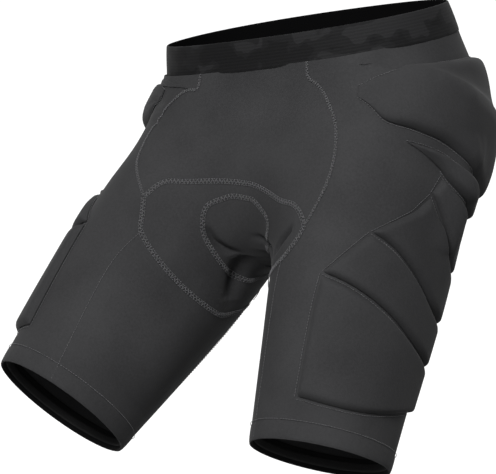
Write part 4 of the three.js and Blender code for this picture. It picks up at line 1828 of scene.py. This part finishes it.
@dataclass
class Seams:
    """Every line of thread on the outside of the shorts."""

    tailor: Tailor
    narrow: float = 2.4 * MM
    leg_height: float = 0.2 * MM
    hem_height: float = 0.9 * MM
    pad_height: float = 0.6 * MM
    thigh_margin: float = 1.2 * MM
    hip_margin: float = 0.6 * MM
    corner_turn: float = 1.5

    def build(self) -> list[bpy.types.Object]:
        """Sews the seams of both sides.

        Returns:
            The pieces.
        """
        made = []
        pattern = self.tailor.pattern
        for leg in self.tailor.body.legs:
            run = StitchRun(self.tailor)
            name = leg.name
            made.append(run.flatlock(f"{name}_front_seam", leg, [pattern.front_seam],
                                     [f"{name}_front_seam_thread"], "dark_thread", self.narrow))
            arch = [pattern.arch_round, pattern.arch_over(leg), pattern.seat_pad_edge(leg)]
            made.append(run.flatlock(f"{name}_arch_seam", leg, arch, [f"{name}_arch_thread"]))
            made.append(run.flatlock(f"{name}_back_seam", leg, [pattern.back_seam],
                                     [f"{name}_back_seam_thread"], "dark_thread", self.narrow))
            leg_seams = [pattern.leg_seam, pattern.back_leg_seam]
            made.append(run.lockstitch(f"{name}_leg_seam", leg, leg_seams, self.leg_height,
                                       nodes=[f"{name}_leg_seam_thread"]))
            hem = (leg.hem_d - pattern.hem_depth) / MM
            ring = seam(*[(hem, angle) for angle in range(0, 361, 30)])
            made.append(run.lockstitch(f"{name}_hem_stitch", leg, [ring], self.hem_height, "pale_thread",
                                       [f"{name}_hem_thread"]))
            made.append(self.pad_outline(run, leg))
        return made

    def pad_outline(self, run: StitchRun, leg: LegLine) -> bpy.types.Object:
        """Sews the stitches that hold the pads down: in their channels, and along their front edges.

        Args:
            run: The stitches.
            leg: The side.

        Returns:
            The piece.
        """
        pattern = self.tailor.pattern

        def moved(curve: Curve, by: float) -> Curve:
            """Moves a curve down the leg by a distance.

            Args:
                curve: The curve.
                by: The distance.

            Returns:
                The moved curve.
            """

            def read(u: np.ndarray) -> tuple[np.ndarray, np.ndarray]:
                """Reads the moved curve at shares of the way."""
                d, angle = curve(u)
                return d + by, angle

            return read

        curves = [moved(line, self.thigh_margin) for line in pattern.thigh_lines]
        starts = [tuple(float(value) for value in line(np.array(0.0))) for line in pattern.thigh_lines]
        corners = [(d / MM, angle - self.corner_turn) for d, angle in starts]
        curves += [seam(one, other) for one, other in zip(corners, corners[1:])]
        curves += [moved(upper, self.hip_margin) for upper, _ in pattern.hip_edges]
        curves += [moved(lower, -self.hip_margin) for _, lower in pattern.hip_edges]
        return run.lockstitch(f"{leg.name}_pad_stitches", leg, curves, self.pad_height)


# ---- Studio --------------------------------------------------------------------------------------


@dataclass
class Studio:
    """Camera, lights, and a seamless pale backdrop: a floor, and a wall given as radii and heights."""

    distance: float = 2.4
    azimuth: float = 36.5
    elevation: float = 9.0
    roll: float = 10.4
    lens: float = 165.9
    aim: tuple[float, float] = (0.0592, 0.2254)
    target: tuple[float, float, float] = (0, -0.05, -0.2)
    world_strength: float = 0.4
    floor_drop: float = 0.8
    floor: tuple[tuple[float, float], ...] = ((0.02, 0.0), (0.9, 0.0), (1.6, 0.0))
    wall: tuple[tuple[float, float], ...] = ((1.6, 0.0), (4.0, 0.02), (7.0, 0.6), (9.0, 2.5), (10.0, 5.0),
                                             (10.5, 9.0))
    wall_glow: float = 0.95
    front_glow: float = 0.3
    sides: int = 48

    def build(self) -> None:
        """Sets up the studio."""
        self.camera()
        self.backdrop()
        self.light("key", (1.1, -2.2, 1.6), 118, 1.0)
        self.light("top", (0.2, 0.3, 2.4), 12, 2.0)
        world = bpy.data.worlds.new("studio")
        bpy.context.scene.world = world
        world.use_nodes = True
        background = world.node_tree.nodes["Background"]
        background.inputs["Color"].default_value = linear("#ffffff")
        background.inputs["Strength"].default_value = self.world_strength
        bpy.context.scene.view_settings.view_transform = "Standard"

    def camera(self) -> None:
        """Places the camera."""
        az, el, roll = (math.radians(v) for v in (self.azimuth, self.elevation, self.roll))
        back = np.array([math.sin(az) * math.cos(el), -math.cos(az) * math.cos(el), math.sin(el)])
        level = np.array([math.cos(az), math.sin(az), 0.0])
        upright = np.cross(back, level)
        right = math.cos(roll) * level - math.sin(roll) * upright
        up = math.sin(roll) * level + math.cos(roll) * upright
        place = back * self.distance - right * self.aim[0] - up * self.aim[1]
        camera = bpy.data.objects.new("camera", bpy.data.cameras.new("camera"))
        bpy.context.scene.collection.objects.link(camera)
        camera.data.lens = self.lens
        camera.data.sensor_width = 36.0
        camera.data.clip_end = 50
        turn = Matrix(np.stack([right, up, back], axis=1).tolist()).to_4x4()
        camera.matrix_world = Matrix.Translation(place.tolist()) @ turn
        bpy.context.scene.camera = camera

    def light(self, name: str, place: tuple[float, float, float], power: float, size: float) -> None:
        """Adds a soft box that looks at the shorts.

        Args:
            name: Name of the light.
            place: Where it stands.
            power: Its power in watts.
            size: Length of its side.
        """
        lamp = bpy.data.lights.new(name, "AREA")
        lamp.energy = power
        lamp.size = size
        holder = bpy.data.objects.new(name, lamp)
        holder.location = place
        holder.rotation_euler = (Vector(self.target) - Vector(place)).to_track_quat("-Z", "Y").to_euler()
        bpy.context.scene.collection.objects.link(holder)

    def backdrop(self) -> None:
        """Adds a darker floor, and round it a glowing wall that sweeps up on every side."""
        paper = StudioPaper("studio_floor_grey", "#808080", self.azimuth)
        self.sweep("floor", self.floor, paper, is_closed=True)
        # The wall is grey paper that looks white through its painted glow.
        paper = StudioPaper("studio_paper_painted_glow", "#8a8a8a", self.azimuth, self.wall_glow, self.front_glow)
        self.sweep("wall", self.wall, paper, is_closed=False)

    def sweep(self, name: str, outline: Sequence[tuple[float, float]], paper: StudioPaper,
              is_closed: bool) -> None:
        """Turns an outline of radii and heights round the vertical and adds it to the stage.

        Args:
            name: Name of the surface.
            outline: Radii and heights above the floor.
            paper: Its finish.
            is_closed: Whether its middle is closed.
        """
        turn = np.linspace(0, 2 * np.pi, self.sides + 1)[:-1]
        radii, heights = np.array(outline).T
        level = CAD_BOUNDS[0][2] - self.floor_drop
        grid = np.stack([radii[:, None] * np.cos(turn), radii[:, None] * np.sin(turn),
                         heights[:, None] + level + 0 * turn], axis=-1)
        faces = [face[::-1] for face in sheet_faces(len(radii), len(turn), True)]
        if is_closed:
            faces.append(list(range(len(turn))))
        piece = new_piece(name, grid, faces)
        subdivide(piece, 2)
        piece.data.materials.append(paper.make())


FOLDS: tuple[Fold, ...] = (
    Fold("right", ((257, -57), (262, -67), (261, -76), (256, -86)), -8.0 * MM, 3.5 * MM),
    Fold("left", ((265, -57), (276, -50), (289, -41)), -8.0 * MM, 4 * MM),
    Fold("left", ((279, -60), (284, -72), (282, -88), (278, -104), (266, -119)), -13.0 * MM, 10 * MM),
    Fold("left", ((268, -19), (277, -25), (289, -33)), -8.0 * MM, 3.0 * MM),
    Fold("right", ((254, -88), (264, -98), (276, -106), (290, -112)), -12.0 * MM, 12 * MM),
    Fold("right", ((290, -100), (360, -100), (440, -100)), 7.0 * MM, 34 * MM),
    Fold("left", ((170, 90), (212, 98), (255, 106)), 12.0 * MM, 22 * MM),
    Fold("right", ((165, 45), (200, 40), (245, 45)), -5.0 * MM, 22 * MM),
    Fold("right", ((85, 75), (115, 62), (150, 48)), -7.0 * MM, 22 * MM),
    Fold("right", ((160, 38), (163, 28), (167, 18)), -2.8 * MM, 3 * MM),
    Fold("right", ((172, 30), (177, 18), (181, 8)), -3.2 * MM, 3 * MM),
    Fold("right", ((186, 22), (190, 10), (195, 0)), -2.4 * MM, 3.5 * MM),
    Fold("left", ((175, 30), (182, 18), (190, 6)), -0.9 * MM, 5 * MM),
)


def main() -> None:
    """Builds the shorts in their sewing order and reports each piece."""
    logging.basicConfig(level=logging.INFO, format="%(name)s: %(message)s")
    Studio().build()
    body = Body()
    body.lay_folds(FOLDS)
    low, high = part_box("waistband")
    tailor = Tailor(body, Pattern(body, band_depth=high[2] - low[2]), Wardrobe())
    for assembly in (Waistband, BodyPanels, Hems, Pads, Inside, Seams):
        for piece in assembly(tailor).build():
            LOG.info("%s: %d faces", piece.name, len(piece.data.polygons))


if __name__ == "__main__":
    main()
